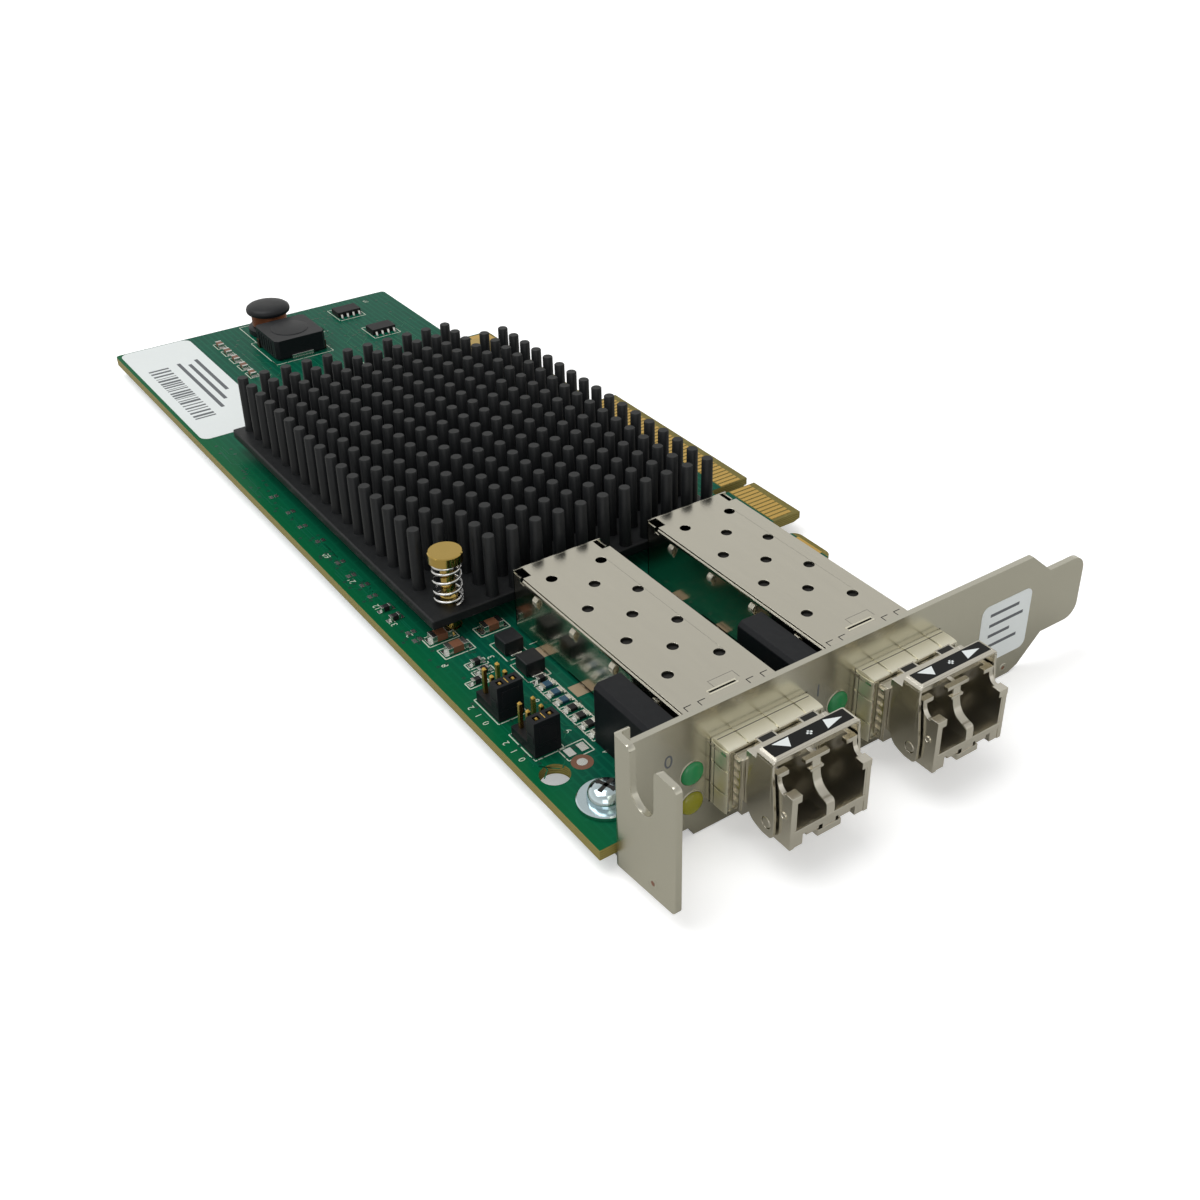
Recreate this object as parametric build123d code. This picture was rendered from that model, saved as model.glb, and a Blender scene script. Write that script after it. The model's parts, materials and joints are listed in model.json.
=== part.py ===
from build123d import *
import math
import os

# Half-length expansion card with two optical ports. All sizes are in millimetres.
# X runs along the board from its rear edge to the bracket, Y across it from its plain edge to the
# edge contacts, and Z up from the component side of the board.

# Board outline
board_thickness = 1.57
bracket_inner_x = 167.65
board_front_gap = 0.10
rear_edge_y = 57.20
front_edge_y = 59.50
corner_radius = 0.80

# Edge tongue, with its key notch and the two tabs beside it
tongue_tip_y = 68.90
key_notch_x = 110.02
key_notch_width = 1.90
key_notch_depth = 7.70
contact_pitch = 1.00
contact_width = 0.70
contact_length = 4.10
contact_thickness = 0.05
contacts_front = 11
contacts_rear = 38
contact_inner_margin = 0.55
contact_outer_margin = 1.10
bevel_length = 1.20
bevel_drop = 0.40
tab_tip_y = 64.42
hook_tab_x = 31.40
hook_slot_width = 3.20
end_gap_width = 4.18
end_tab_width = 8.80
end_tab_radius = 1.60
slot_floor_y = 58.90
land_margin = 0.50
land_depth = 4.00

# Heatsink with its pin grid, the controller below it and its two push pins
sink_x0 = 50.20
sink_y0 = 4.00
sink_length = 70.70
sink_width = 50.80
sink_base_z = 2.50
sink_base_thickness = 1.57
fin_columns = 19
fin_rows = 13
fin_pitch_x = 3.75
fin_pitch_y = 3.80
fin_width = 1.60
fin_top_z = 13.72
fin_margin_x = 1.90
fin_margin_y = 2.60
chip_size = 31.00
pad_thickness = 0.40
pushpin_inset_x = 3.40
pushpin_inset_y = 4.50
pushpin_head_diameter = 4.93
pushpin_head_thickness = 1.60
pushpin_shaft_diameter = 2.60
pushpin_barb_diameter = 3.40
pushpin_barb_length = 1.80
pushpin_tip_diameter = 1.70
pushpin_head_z = {"front": 12.30, "rear": 9.00}
pushpin_hole_clearance = 0.25
spring_wire = 0.36
spring_diameter = 4.30
spring_turns = 4
spring_sides = 8

# Port cages, their connectors and gaskets
port_centres_y = (22.55, 45.25)
cage_rear_x = 123.80
cage_front_reach = 3.19
cage_width = 14.30
cage_top_z = 9.80
cage_standoff = 0.45
cage_sheet = 0.25
cage_floor_x = 137.00
cage_notch_length = 2.40
cage_notch_width = 1.30
vent_diameter = 1.60
vent_sides = 6
vent_first_x = 128.80
vent_step = 4.45
vent_columns = 7
vent_offset_y = 4.05
latch_slit_x = 161.35
latch_slit_length = 4.10
latch_slit_width = 0.45
cage_tail_width = 0.60
cage_tail_first_x = 130.70
cage_tail_pitch = 10.10
cage_tail_count = 3
cage_tail_hole_clearance = 0.15
gasket_sheet = 0.15
gasket_slit_width = 0.25
gasket_slit_length = 2.40
gasket_slit_offsets = (-4.20, 0.40, 4.70)
gasket_side_slits_z = (3.30, 6.90)
connector_rear_gap = 0.40
connector_length = 6.60
connector_width = 11.20
connector_height = 6.30
connector_slot_depth = 4.70
module_fit = 0.30

# Optical modules
module_reach = 10.00
module_body_rear_x = 132.00
module_body_top_z = 9.25
module_edge_width = 9.40
module_edge_thickness = 1.00
module_edge_z = 3.70
module_edge_tip_x = 126.60
nose_length = 8.30
nose_width = 12.00
nose_wall = 0.65
nose_floor_top_z = 3.95
nose_floor_thickness = 0.95
nose_foot_z = 1.50
nose_foot_width = 2.00
nose_foot_length = 5.30
nose_roof_z = 10.90
nose_roof_thickness = 0.85
nose_roof_setback = 4.70
nose_lip_z = 9.20
nose_lip_length = 1.50
nose_bevel = 0.50
nose_hook_width = 1.60
crest_setback = 2.80
crest_length = 0.80
crest_thickness = 0.55
nose_divider = 1.10
divider_front_z = 5.90
divider_front_length = 1.40
divider_bend = 0.60
divider_rise = 1.70
port_depth = 10.50
sleeve_diameter = 2.50
sleeve_length = 3.20
sleeve_z = 6.20
catch_width = 3.60
catch_neck_width = 2.00
catch_thickness = 0.90
window_width = 2.50
window_length = 1.00
window_depth = 0.20
window_gap = 0.60
window_offset_y = 4.00

# Bail latches
bail_pivot_setback = 3.60
bail_pivot_z = 3.60
bail_pivot_diameter = 1.50
bail_pivot_clearance = 0.05
bail_sheet = 0.40
bail_side_gap = 0.25
bail_top_z = 13.10
bail_strap_setback = 3.05
bail_strap_width = 2.70
bail_strap_thickness = 0.55
bail_belly = 1.70
bail_belly_z = 6.70
bail_knee_z = 3.40
bail_knee_run = 0.50
bail_heel_run = 1.40
bail_heel_rise = 0.60
bail_toe_drop = 1.90
bail_toe_length = 1.50
bail_ear_reach = 1.30
bail_ear_top = 1.70

# Light pipe blocks beside the cages
light_block_rear_x = 150.90
light_block_width = 4.10
light_block_height = 9.10
light_block_chamfer = 0.60
light_block_gap = 0.80
lens_diameter = 3.30
lens_hole_diameter = 3.60
lens_proud = 0.60
lens_z = (1.35, 5.95)

# Bracket
bracket_sheet = 0.86
bracket_top_z = 14.60
bracket_bottom_z = -3.82
bracket_y0 = 1.70
bracket_step_y = 12.20
bracket_step_run = 0.70
bracket_lower_run = 1.60
bracket_tab_length = 7.20
bracket_tab_z0 = 0.80
bracket_tab_z1 = 11.00
bracket_shoulder_y = 73.70
bracket_shoulder_run = 4.10
bracket_tab_radius = 2.30
flange_reach = 11.43
flange_top_z = 17.00
flange_bottom_rise = 1.20
flange_corner_radius = 0.80
flange_bend_radius = 1.30
flange_slot_width = 4.42
flange_slot_x = 173.65
flange_slot_floor_z = 9.40
mouth_clearance = 0.15
foot_width = 8.40
foot_reach = 11.00

# Bracket screws
screw_x = 161.00
screw_y = (5.40, 56.20)
screw_diameter = 2.90
screw_hole_clearance = 0.15
screw_head_diameter = 4.80
screw_head_height = 1.90
small_round_sides = 12
washer_diameter = 7.40
washer_thickness = 0.70

# Bare holes in the board
tooling_hole_x = 153.30
tooling_hole_y = 3.00
tooling_hole_diameter = 4.00
plated_hole_x = 153.30
plated_hole_y = 7.00
plated_hole_diameter = 1.50

# Jumper headers
header_x = (135.75, 144.60)
header_y = 3.55
header_pitch = 1.95
header_columns = 3
header_rows = 2
header_body_height = 1.50
header_body_margin = 0.95
header_pin_width = 0.50
header_pin_top_z = 5.50
header_tail = 1.20
jumper_width = 1.90
jumper_height = 4.00
jumper_clearance = 0.05

# Coils, chips and other parts soldered to the board
drum_x = 5.60
drum_y = 29.50
drum_diameter = 8.50
drum_waist_diameter = 6.20
drum_height = 5.80
drum_flange = 1.30
box_coil_x = 15.75
box_coil_y = 29.50
box_coil_size = 10.20
box_coil_height = 4.15
small_coil_centres = ((127.40, 12.05), (133.20, 11.90))
small_coil_size = 3.00
small_coil_height = 2.30
resistor_first_x = 137.65
resistor_y = 11.75
resistor_pitch = 2.02
resistor_count = 7
resistor_length = 2.00
resistor_width = 1.10
resistor_height = 0.50
capacitor_height = 1.10
capacitor_centres = ((123.25, 6.05), (119.50, 5.60), (121.60, 12.60))
capacitor_length = 3.10
capacitor_width = 1.65
small_capacitor_centres = ((127.80, 6.60), (129.90, 6.50), (131.50, 4.60), (136.20, 11.75),
                           (111.70, 2.60), (108.90, 2.60))
small_capacitor_length = 1.60
small_capacitor_width = 0.80
row_part_y = 18.20
row_part_first_x = 7.20
row_part_pitch = 4.00
row_part_count = 5
rear_chip_centres = ((6.40, 45.60), (18.40, 47.40))
rear_chip_length = 3.20
rear_chip_width = 5.00
rear_chip_height = 1.10

# Reach of every cut beyond the face that it opens
cut_over = 1.00

# Derived places
cage_tail_x = [cage_tail_first_x + i * cage_tail_pitch for i in range(cage_tail_count)]
board_front_x = bracket_inner_x - board_front_gap
bracket_outer_x = bracket_inner_x + bracket_sheet
bracket_end_y = bracket_shoulder_y + bracket_tab_length
flange_end_x = bracket_outer_x + flange_reach
cage_front_x = bracket_outer_x + cage_front_reach
module_front_x = cage_front_x + module_reach
module_body_front_x = module_front_x - nose_length
nose_foot_rear_x = module_front_x - nose_foot_length
nose_roof_front_x = module_front_x - nose_roof_setback
nose_under_z = nose_floor_top_z - nose_floor_thickness
crest_x = module_front_x - crest_setback
port_depth_x = module_front_x - port_depth
port_top_z = module_body_top_z - cage_sheet
bail_pivot_x = module_front_x - bail_pivot_setback
bail_strap_front_x = module_front_x - bail_strap_setback
bail_strap_rear_x = bail_strap_front_x - bail_strap_width
board_bottom_z = -board_thickness
tongue_front_x = (key_notch_x + key_notch_width / 2 + contact_inner_margin
                  + (contacts_front - 1) * contact_pitch + contact_outer_margin)
tongue_rear_x = (key_notch_x - key_notch_width / 2 - contact_inner_margin
                 - (contacts_rear - 1) * contact_pitch - contact_outer_margin)
hook_tab_end_x = tongue_rear_x - hook_slot_width
end_tab_x = tongue_front_x + end_gap_width
fin_x0 = sink_x0 + fin_margin_x
fin_y0 = sink_y0 + fin_margin_y
sink_top_z = sink_base_z + sink_base_thickness
pushpin_places = {
    "front": (sink_x0 + sink_length - pushpin_inset_x, sink_y0 + pushpin_inset_y),
    "rear": (sink_x0 + pushpin_inset_x, sink_y0 + sink_width - pushpin_inset_y),
}
pushpin_hole_diameter = pushpin_shaft_diameter + 2 * pushpin_hole_clearance
cage_inner_width = cage_width - 2 * cage_sheet
cage_inner_top_z = cage_top_z - cage_sheet
module_width = cage_inner_width - 2 * module_fit
module_bottom_z = cage_standoff + cage_sheet + module_fit
gasket_width = cage_width + 2 * gasket_sheet
gasket_top_z = cage_top_z + gasket_sheet
gasket_bottom_z = cage_standoff - gasket_sheet
bail_half_width = nose_width / 2 + bail_side_gap + bail_sheet
lens_hole_y = [y - cage_width / 2 - light_block_gap - light_block_width / 2 for y in port_centres_y]

# The origin lies at the tip of the edge tongue, at the middle of the key notch.
to_origin = Pos(-key_notch_x, -tongue_tip_y, 0)


def block(x0, x1, y0, y1, z0, z1):
    return Pos((x0 + x1) / 2, (y0 + y1) / 2, (z0 + z1) / 2) * Box(x1 - x0, y1 - y0, z1 - z0)


def rod_z(x, y, diameter, z0, z1):
    return Pos(x, y, (z0 + z1) / 2) * Cylinder(diameter / 2, z1 - z0)


def small_rod_z(x, y, diameter, z0, z1):
    face = Pos(x, y) * RegularPolygon(diameter / 2, small_round_sides)
    return plate_xy(face, z0, z1)


def small_rod_x(y, z, diameter, x0, x1):
    face = Pos(y, z) * RegularPolygon(diameter / 2, small_round_sides)
    return plate_yz(face, x0, x1)


def rod_y(x, z, diameter, y0, y1):
    return Pos(x, (y0 + y1) / 2, z) * Rot(90, 0, 0) * Cylinder(diameter / 2, y1 - y0)


def plate_xy(sketch, z0, z1):
    return extrude(Pos(0, 0, z0) * sketch, z1 - z0)


def plate_xz(sketch, y0, y1):
    face_plane = Plane((0, y1, 0), x_dir=(1, 0, 0), z_dir=(0, -1, 0))
    return extrude(face_plane * sketch, y1 - y0)


def plate_yz(sketch, x0, x1):
    return extrude(Plane((x0, 0, 0), x_dir=(0, 1, 0), z_dir=(1, 0, 0)) * sketch, x1 - x0)


def outline(points):
    return Polygon(*points, align=None)


def rounded(sketch, points, radius):
    corners = [v for v in sketch.vertices()
               for p in points if abs(v.X - p[0]) < 1e-6 and abs(v.Y - p[1]) < 1e-6]
    return fillet(corners, radius)


def group(solids):
    return Compound(children=[Solid(s.wrapped) for part in solids for s in part.solids()])


def board_outline():
    slot_end_x = end_tab_x + end_tab_width
    notch_x0 = key_notch_x - key_notch_width / 2
    notch_x1 = key_notch_x + key_notch_width / 2
    notch_y = tongue_tip_y - key_notch_depth
    rear_corners = [(0, 0), (0, rear_edge_y)]
    tab_corners = [(slot_end_x, tab_tip_y), (end_tab_x, tab_tip_y)]
    face = outline([
        (0, 0), (board_front_x, 0), (board_front_x, front_edge_y), (slot_end_x, front_edge_y),
        (slot_end_x, tab_tip_y), (end_tab_x, tab_tip_y), (end_tab_x, slot_floor_y),
        (tongue_front_x, slot_floor_y), (tongue_front_x, tongue_tip_y), (notch_x1, tongue_tip_y),
        (notch_x1, notch_y), (notch_x0, notch_y), (notch_x0, tongue_tip_y),
        (tongue_rear_x, tongue_tip_y), (tongue_rear_x, slot_floor_y), (hook_tab_end_x, slot_floor_y),
        (hook_tab_end_x, tab_tip_y), (hook_tab_x, tab_tip_y), (hook_tab_x, rear_edge_y),
        (0, rear_edge_y)])
    face = rounded(face, rear_corners, corner_radius)
    face = rounded(face, tab_corners, end_tab_radius)
    return rounded(face, [(notch_x0, notch_y), (notch_x1, notch_y)], key_notch_width * 0.45)


def header_pin_places(start_x):
    return [(start_x + i * header_pitch, header_y + j * header_pitch)
            for i in range(header_columns) for j in range(header_rows)]


def board_holes():
    z0 = board_bottom_z - cut_over
    z1 = cut_over
    holes = [rod_z(tooling_hole_x, tooling_hole_y, tooling_hole_diameter, z0, z1),
             rod_z(plated_hole_x, plated_hole_y, plated_hole_diameter, z0, z1)]
    for y in screw_y:
        holes.append(small_rod_z(screw_x, y, screw_diameter + 2 * screw_hole_clearance, z0, z1))
    for x, y in pushpin_places.values():
        holes.append(small_rod_z(x, y, pushpin_hole_diameter, z0, z1))
    half_x = cage_tail_width / 2 + cage_tail_hole_clearance
    half_y = cage_sheet / 2 + cage_tail_hole_clearance
    for y in cage_tail_rows():
        for x in cage_tail_x:
            holes.append(block(x - half_x, x + half_x, y - half_y, y + half_y, z0, z1))
    return holes


def bevel_wedge(surface_z, drop):
    face = outline([(tongue_tip_y - bevel_length, surface_z), (tongue_tip_y + bevel_length, surface_z),
                    (tongue_tip_y + bevel_length, surface_z - 2 * drop)])
    return plate_yz(face, tongue_rear_x - cut_over, tongue_front_x + cut_over)


def board():
    part = plate_xy(board_outline(), board_bottom_z, 0)
    part -= board_holes()
    part -= [bevel_wedge(0, bevel_drop), bevel_wedge(board_bottom_z, -bevel_drop)]
    for start_x in header_x:
        for x, y in header_pin_places(start_x):
            part -= block(x - header_pin_width / 2, x + header_pin_width / 2,
                          y - header_pin_width / 2, y + header_pin_width / 2,
                          board_bottom_z - cut_over, cut_over)
    return part


def contact_centres():
    first = key_notch_width / 2 + contact_inner_margin
    front = [key_notch_x + first + i * contact_pitch for i in range(contacts_front)]
    rear = [key_notch_x - first - i * contact_pitch for i in range(contacts_rear)]
    return front + rear


def edge_contacts(z0):
    tip = tongue_tip_y - bevel_length
    return group([block(x - contact_width / 2, x + contact_width / 2, tip - contact_length, tip,
                        z0, z0 + contact_thickness) for x in contact_centres()])


def tab_lands():
    y1 = tab_tip_y - land_margin
    hook = block(hook_tab_x + land_margin, hook_tab_end_x - land_margin, y1 - land_depth, y1,
                 0, contact_thickness)
    y1 = tab_tip_y - end_tab_radius / 2
    end = block(end_tab_x + end_tab_radius, end_tab_x + end_tab_width - end_tab_radius,
                y1 - land_depth / 2, y1, 0, contact_thickness)
    return group([hook, end])


def fin_places():
    cleared_front = [(i, j) for i in (fin_columns - 2, fin_columns - 1) for j in (0, 1)]
    cleared_rear = [(i, j) for i in (0, 1) for j in (fin_rows - 2, fin_rows - 1)]
    return [(fin_x0 + i * fin_pitch_x, fin_y0 + j * fin_pitch_y)
            for i in range(fin_columns) for j in range(fin_rows)
            if (i, j) not in cleared_front + cleared_rear]


def heatsink():
    base = block(sink_x0, sink_x0 + sink_length, sink_y0, sink_y0 + sink_width, sink_base_z, sink_top_z)
    for x, y in pushpin_places.values():
        base -= small_rod_z(x, y, pushpin_hole_diameter, sink_base_z - cut_over, sink_top_z + cut_over)
    fins = Sketch() + [Pos(x, y) * Rectangle(fin_width, fin_width) for x, y in fin_places()]
    return base + plate_xy(fins, sink_top_z, fin_top_z)


def centred_square(size, z0, z1):
    x = sink_x0 + sink_length / 2
    y = sink_y0 + sink_width / 2
    return block(x - size / 2, x + size / 2, y - size / 2, y + size / 2, z0, z1)


def controller_chip():
    return centred_square(chip_size, 0, sink_base_z - pad_thickness)


def thermal_pad():
    return centred_square(chip_size, sink_base_z - pad_thickness, sink_base_z)


def push_pin(end):
    x, y = pushpin_places[end]
    head_z = pushpin_head_z[end]
    barb_z = board_bottom_z - pushpin_barb_length
    shaft = small_rod_z(x, y, pushpin_shaft_diameter, board_bottom_z, head_z)
    head = small_rod_z(x, y, pushpin_head_diameter, head_z - pushpin_head_thickness, head_z)
    faces = [Pos(x, y, z) * RegularPolygon(diameter / 2, small_round_sides)
             for z, diameter in ((barb_z, pushpin_tip_diameter), (board_bottom_z, pushpin_barb_diameter))]
    return shaft + head + loft(faces)


def push_pin_spring(end):
    x, y = pushpin_places[end]
    z0 = sink_top_z + spring_wire / 2
    height = pushpin_head_z[end] - pushpin_head_thickness - spring_wire / 2 - z0
    steps = spring_turns * spring_sides
    radius = (spring_diameter - spring_wire) / 2
    path = Polyline(*[(x + radius * math.cos(2 * math.pi * k / spring_sides),
                       y + radius * math.sin(2 * math.pi * k / spring_sides), z0 + height * k / steps)
                      for k in range(steps + 1)])
    section = Plane(origin=path @ 0, z_dir=path % 0) * Rectangle(spring_wire, spring_wire)
    return sweep(section, path=path, transition=Transition.RIGHT)


def cage_tail_rows():
    reach = cage_width / 2 - cage_sheet / 2
    return [y + side * reach for y in port_centres_y for side in (-1, 1)]


def vent_places(centre_y):
    places = []
    for k in range(vent_columns):
        offsets = (-vent_offset_y, vent_offset_y) if k % 2 == 0 else (0,)
        places += [(vent_first_x + k * vent_step, centre_y + dy) for dy in offsets]
    return places


def cage(centre_y):
    y0 = centre_y - cage_width / 2
    y1 = centre_y + cage_width / 2
    shell = block(cage_rear_x, cage_front_x, y0, y1, cage_standoff, cage_top_z)
    shell -= block(cage_rear_x + cage_sheet, cage_front_x + cut_over, y0 + cage_sheet, y1 - cage_sheet,
                   cage_standoff + cage_sheet, cage_inner_top_z)
    shell -= block(cage_rear_x + cage_sheet, cage_floor_x, y0 + cage_sheet, y1 - cage_sheet,
                   cage_standoff - cut_over, cage_standoff + cage_sheet + cut_over)
    shell -= [plate_xy(Pos(x, y) * RegularPolygon(vent_diameter / 2, vent_sides),
                       cage_inner_top_z - cut_over, cage_top_z + cut_over)
              for x, y in vent_places(centre_y)]
    shell -= block(latch_slit_x - latch_slit_width / 2, latch_slit_x + latch_slit_width / 2,
                   centre_y - latch_slit_length / 2, centre_y + latch_slit_length / 2,
                   cage_inner_top_z - cut_over, cage_top_z + cut_over)
    for side_y0 in (y0 - cut_over, y1 - cage_notch_width):
        shell -= block(cage_rear_x + cage_sheet, cage_rear_x + cage_sheet + cage_notch_length,
                       side_y0, side_y0 + cage_notch_width + cut_over, cage_inner_top_z,
                       cage_top_z + cut_over)
    for x in cage_tail_x:
        for tail_y in (y0, y1 - cage_sheet):
            shell += block(x - cage_tail_width / 2, x + cage_tail_width / 2, tail_y,
                           tail_y + cage_sheet, board_bottom_z - cage_tail_width, cage_standoff)
    return shell


def gasket(centre_y):
    half = gasket_width / 2
    outer = block(bracket_inner_x, cage_front_x, centre_y - half, centre_y + half,
                  gasket_bottom_z, gasket_top_z)
    inner = block(bracket_inner_x - cut_over, cage_front_x + cut_over, centre_y - cage_width / 2,
                  centre_y + cage_width / 2, cage_standoff, cage_top_z)
    slit_x1 = bracket_outer_x + gasket_slit_length
    slits = [block(bracket_outer_x, slit_x1, centre_y + dy - gasket_slit_width / 2,
                   centre_y + dy + gasket_slit_width / 2, gasket_bottom_z - cut_over,
                   gasket_top_z + cut_over) for dy in gasket_slit_offsets]
    slits += [block(bracket_outer_x, slit_x1, centre_y - half - cut_over, centre_y + half + cut_over,
                    z - gasket_slit_width / 2, z + gasket_slit_width / 2) for z in gasket_side_slits_z]
    return outer - inner - slits


def port_connector(centre_y):
    x0 = cage_rear_x + cage_sheet + connector_rear_gap
    x1 = x0 + connector_length
    body = block(x0, x1, centre_y - connector_width / 2, centre_y + connector_width / 2,
                 0, connector_height)
    slot_half = module_edge_width / 2 + module_fit
    return body - block(x1 - connector_slot_depth, x1 + cut_over, centre_y - slot_half,
                        centre_y + slot_half,
                        module_edge_z - module_edge_thickness / 2 - module_fit / 2,
                        module_edge_z + module_edge_thickness / 2 + module_fit / 2)


def module_edge(centre_y):
    return block(module_edge_tip_x, module_body_rear_x, centre_y - module_edge_width / 2,
                 centre_y + module_edge_width / 2, module_edge_z - module_edge_thickness / 2,
                 module_edge_z + module_edge_thickness / 2)


def nose_side_outline():
    lip_x = module_front_x - nose_lip_length
    return outline([
        (module_body_front_x, nose_under_z), (nose_foot_rear_x, nose_under_z),
        (nose_foot_rear_x, nose_foot_z), (module_front_x, nose_foot_z),
        (module_front_x, nose_lip_z - nose_bevel), (module_front_x - nose_bevel, nose_lip_z),
        (lip_x, nose_lip_z - nose_bevel), (lip_x - nose_bevel, nose_lip_z),
        (crest_x, nose_roof_z - nose_bevel), (crest_x - nose_bevel, nose_roof_z),
        (module_body_front_x, nose_roof_z)])


def nose_divider_outline():
    lip_x = module_front_x - divider_front_length
    return outline([
        (port_depth_x, nose_floor_top_z), (module_front_x, nose_floor_top_z),
        (module_front_x, divider_front_z - nose_bevel), (module_front_x - nose_bevel, divider_front_z),
        (lip_x, divider_front_z), (crest_x + divider_bend, divider_front_z + divider_bend),
        (crest_x, divider_front_z + divider_rise), (crest_x, nose_roof_z),
        (module_body_front_x, nose_roof_z), (module_body_front_x, port_top_z),
        (port_depth_x, port_top_z)])


def module_nose(centre_y):
    half = nose_width / 2
    parts = []
    for y0 in (centre_y - half, centre_y + half - nose_wall):
        parts.append(plate_xz(nose_side_outline(), y0, y0 + nose_wall))
    parts.append(plate_xz(nose_divider_outline(), centre_y - nose_divider / 2,
                          centre_y + nose_divider / 2))
    parts.append(block(module_body_front_x, module_front_x, centre_y - half, centre_y + half,
                       nose_under_z, nose_floor_top_z))
    parts.append(block(module_body_front_x, nose_roof_front_x, centre_y - half, centre_y + half,
                       nose_roof_z - nose_roof_thickness, nose_roof_z))
    return parts


def nose_trim(centre_y):
    y0 = centre_y - nose_width / 2
    y1 = centre_y + nose_width / 2
    crest_rear_x = crest_x - crest_length
    crest_z = nose_roof_z - crest_thickness
    parts = [block(crest_rear_x, crest_x, centre_y - catch_width / 2, centre_y + catch_width / 2,
                   crest_z, nose_roof_z)]
    for hook_y in (y0, y1 - nose_hook_width):
        parts.append(block(crest_rear_x, crest_x - nose_bevel, hook_y, hook_y + nose_hook_width,
                           crest_z, nose_roof_z))
    for foot_y in (y0, y1 - nose_foot_width):
        parts.append(block(nose_foot_rear_x, module_front_x, foot_y, foot_y + nose_foot_width,
                           nose_foot_z, nose_under_z))
    parts.append(block(nose_foot_rear_x, module_front_x, centre_y - catch_neck_width / 2,
                       centre_y + catch_neck_width / 2, nose_foot_z, nose_under_z))
    parts.append(block(module_front_x - catch_width, module_front_x, centre_y - catch_width / 2,
                       centre_y + catch_width / 2, nose_foot_z, nose_foot_z + catch_thickness))
    return parts


def module_housing(centre_y):
    half = module_width / 2
    body = block(module_body_rear_x, module_body_front_x, centre_y - half, centre_y + half,
                 module_bottom_z, module_body_top_z)
    pocket_half = nose_width / 2 - nose_wall
    body -= block(port_depth_x, module_body_front_x + cut_over, centre_y - pocket_half,
                  centre_y + pocket_half, nose_floor_top_z, port_top_z)
    body += module_nose(centre_y)
    body += nose_trim(centre_y)
    window_x = cage_front_x + window_gap
    for side in (-1, 1):
        y = centre_y + side * window_offset_y
        body -= block(window_x, window_x + window_length, y - window_width / 2, y + window_width / 2,
                      module_body_top_z - window_depth, module_body_top_z + cut_over)
        pin_y = centre_y + side * (nose_width / 2 + bail_side_gap / 2 + bail_sheet / 2)
        reach = bail_side_gap + bail_sheet
        body += rod_y(bail_pivot_x, bail_pivot_z, bail_pivot_diameter, pin_y - reach / 2,
                      pin_y + reach / 2)
    return body


def optical_sleeves(centre_y):
    offset = (nose_width / 2 - nose_wall + nose_divider / 2) / 2
    return group([small_rod_x(centre_y + side * offset, sleeve_z, sleeve_diameter, port_depth_x,
                              port_depth_x + sleeve_length) for side in (-1, 1)])


def bail_arm_outline():
    toe_z = bail_pivot_z - bail_toe_drop
    belly_x = bail_strap_rear_x - bail_belly
    ear_x = bail_pivot_x + bail_ear_reach
    return outline([
        (bail_strap_rear_x, bail_top_z), (bail_strap_rear_x, bail_top_z - 2 * bail_strap_thickness),
        (belly_x, bail_belly_z), (belly_x + bail_knee_run, bail_knee_z),
        (belly_x + bail_heel_run, toe_z + bail_heel_rise), (bail_pivot_x - bail_toe_length / 2, toe_z),
        (bail_pivot_x + bail_toe_length / 2, toe_z), (ear_x, toe_z + bail_heel_rise),
        (ear_x, bail_pivot_z + bail_ear_top), (bail_strap_front_x, bail_top_z)])


def bail(centre_y):
    y0 = centre_y - bail_half_width
    y1 = centre_y + bail_half_width
    part = plate_xz(bail_arm_outline(), y0, y1)
    part -= block(bail_strap_rear_x - bail_top_z, bail_strap_front_x + bail_top_z, y0 + bail_sheet,
                  y1 - bail_sheet, bail_pivot_z - bail_top_z, bail_top_z - bail_strap_thickness)
    return part - rod_y(bail_pivot_x, bail_pivot_z, bail_pivot_diameter + 2 * bail_pivot_clearance,
                        y0 - cut_over, y1 + cut_over)


def light_block(hole_y):
    y0 = hole_y - light_block_width / 2
    y1 = hole_y + light_block_width / 2
    face = outline([(y0, 0), (y1, 0), (y1, light_block_height),
                    (y0 + light_block_chamfer, light_block_height),
                    (y0, light_block_height - light_block_chamfer)])
    return plate_yz(face, light_block_rear_x, board_front_x)


def lens_pair(z):
    lenses = []
    for y in lens_hole_y:
        lenses.append(small_rod_x(y, z, lens_diameter, board_front_x, bracket_outer_x + lens_proud))
    return group(lenses)


def bracket_plate_outline():
    foot_z = board_bottom_z - bracket_sheet
    shoulder_y = bracket_shoulder_y - bracket_shoulder_run
    tab_corners = [(bracket_end_y, bracket_tab_z0), (bracket_end_y, bracket_tab_z1)]
    face = outline([
        (bracket_y0, foot_z), (bracket_step_y, foot_z),
        (bracket_step_y + bracket_step_run, bracket_bottom_z),
        (shoulder_y - bracket_lower_run, bracket_bottom_z),
        (shoulder_y, bracket_bottom_z + bracket_step_run), (bracket_shoulder_y, bracket_tab_z0),
        (bracket_end_y, bracket_tab_z0), (bracket_end_y, bracket_tab_z1),
        (bracket_shoulder_y, bracket_tab_z1), (shoulder_y, bracket_top_z), (bracket_y0, bracket_top_z)])
    return rounded(face, tab_corners, bracket_tab_radius)


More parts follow.
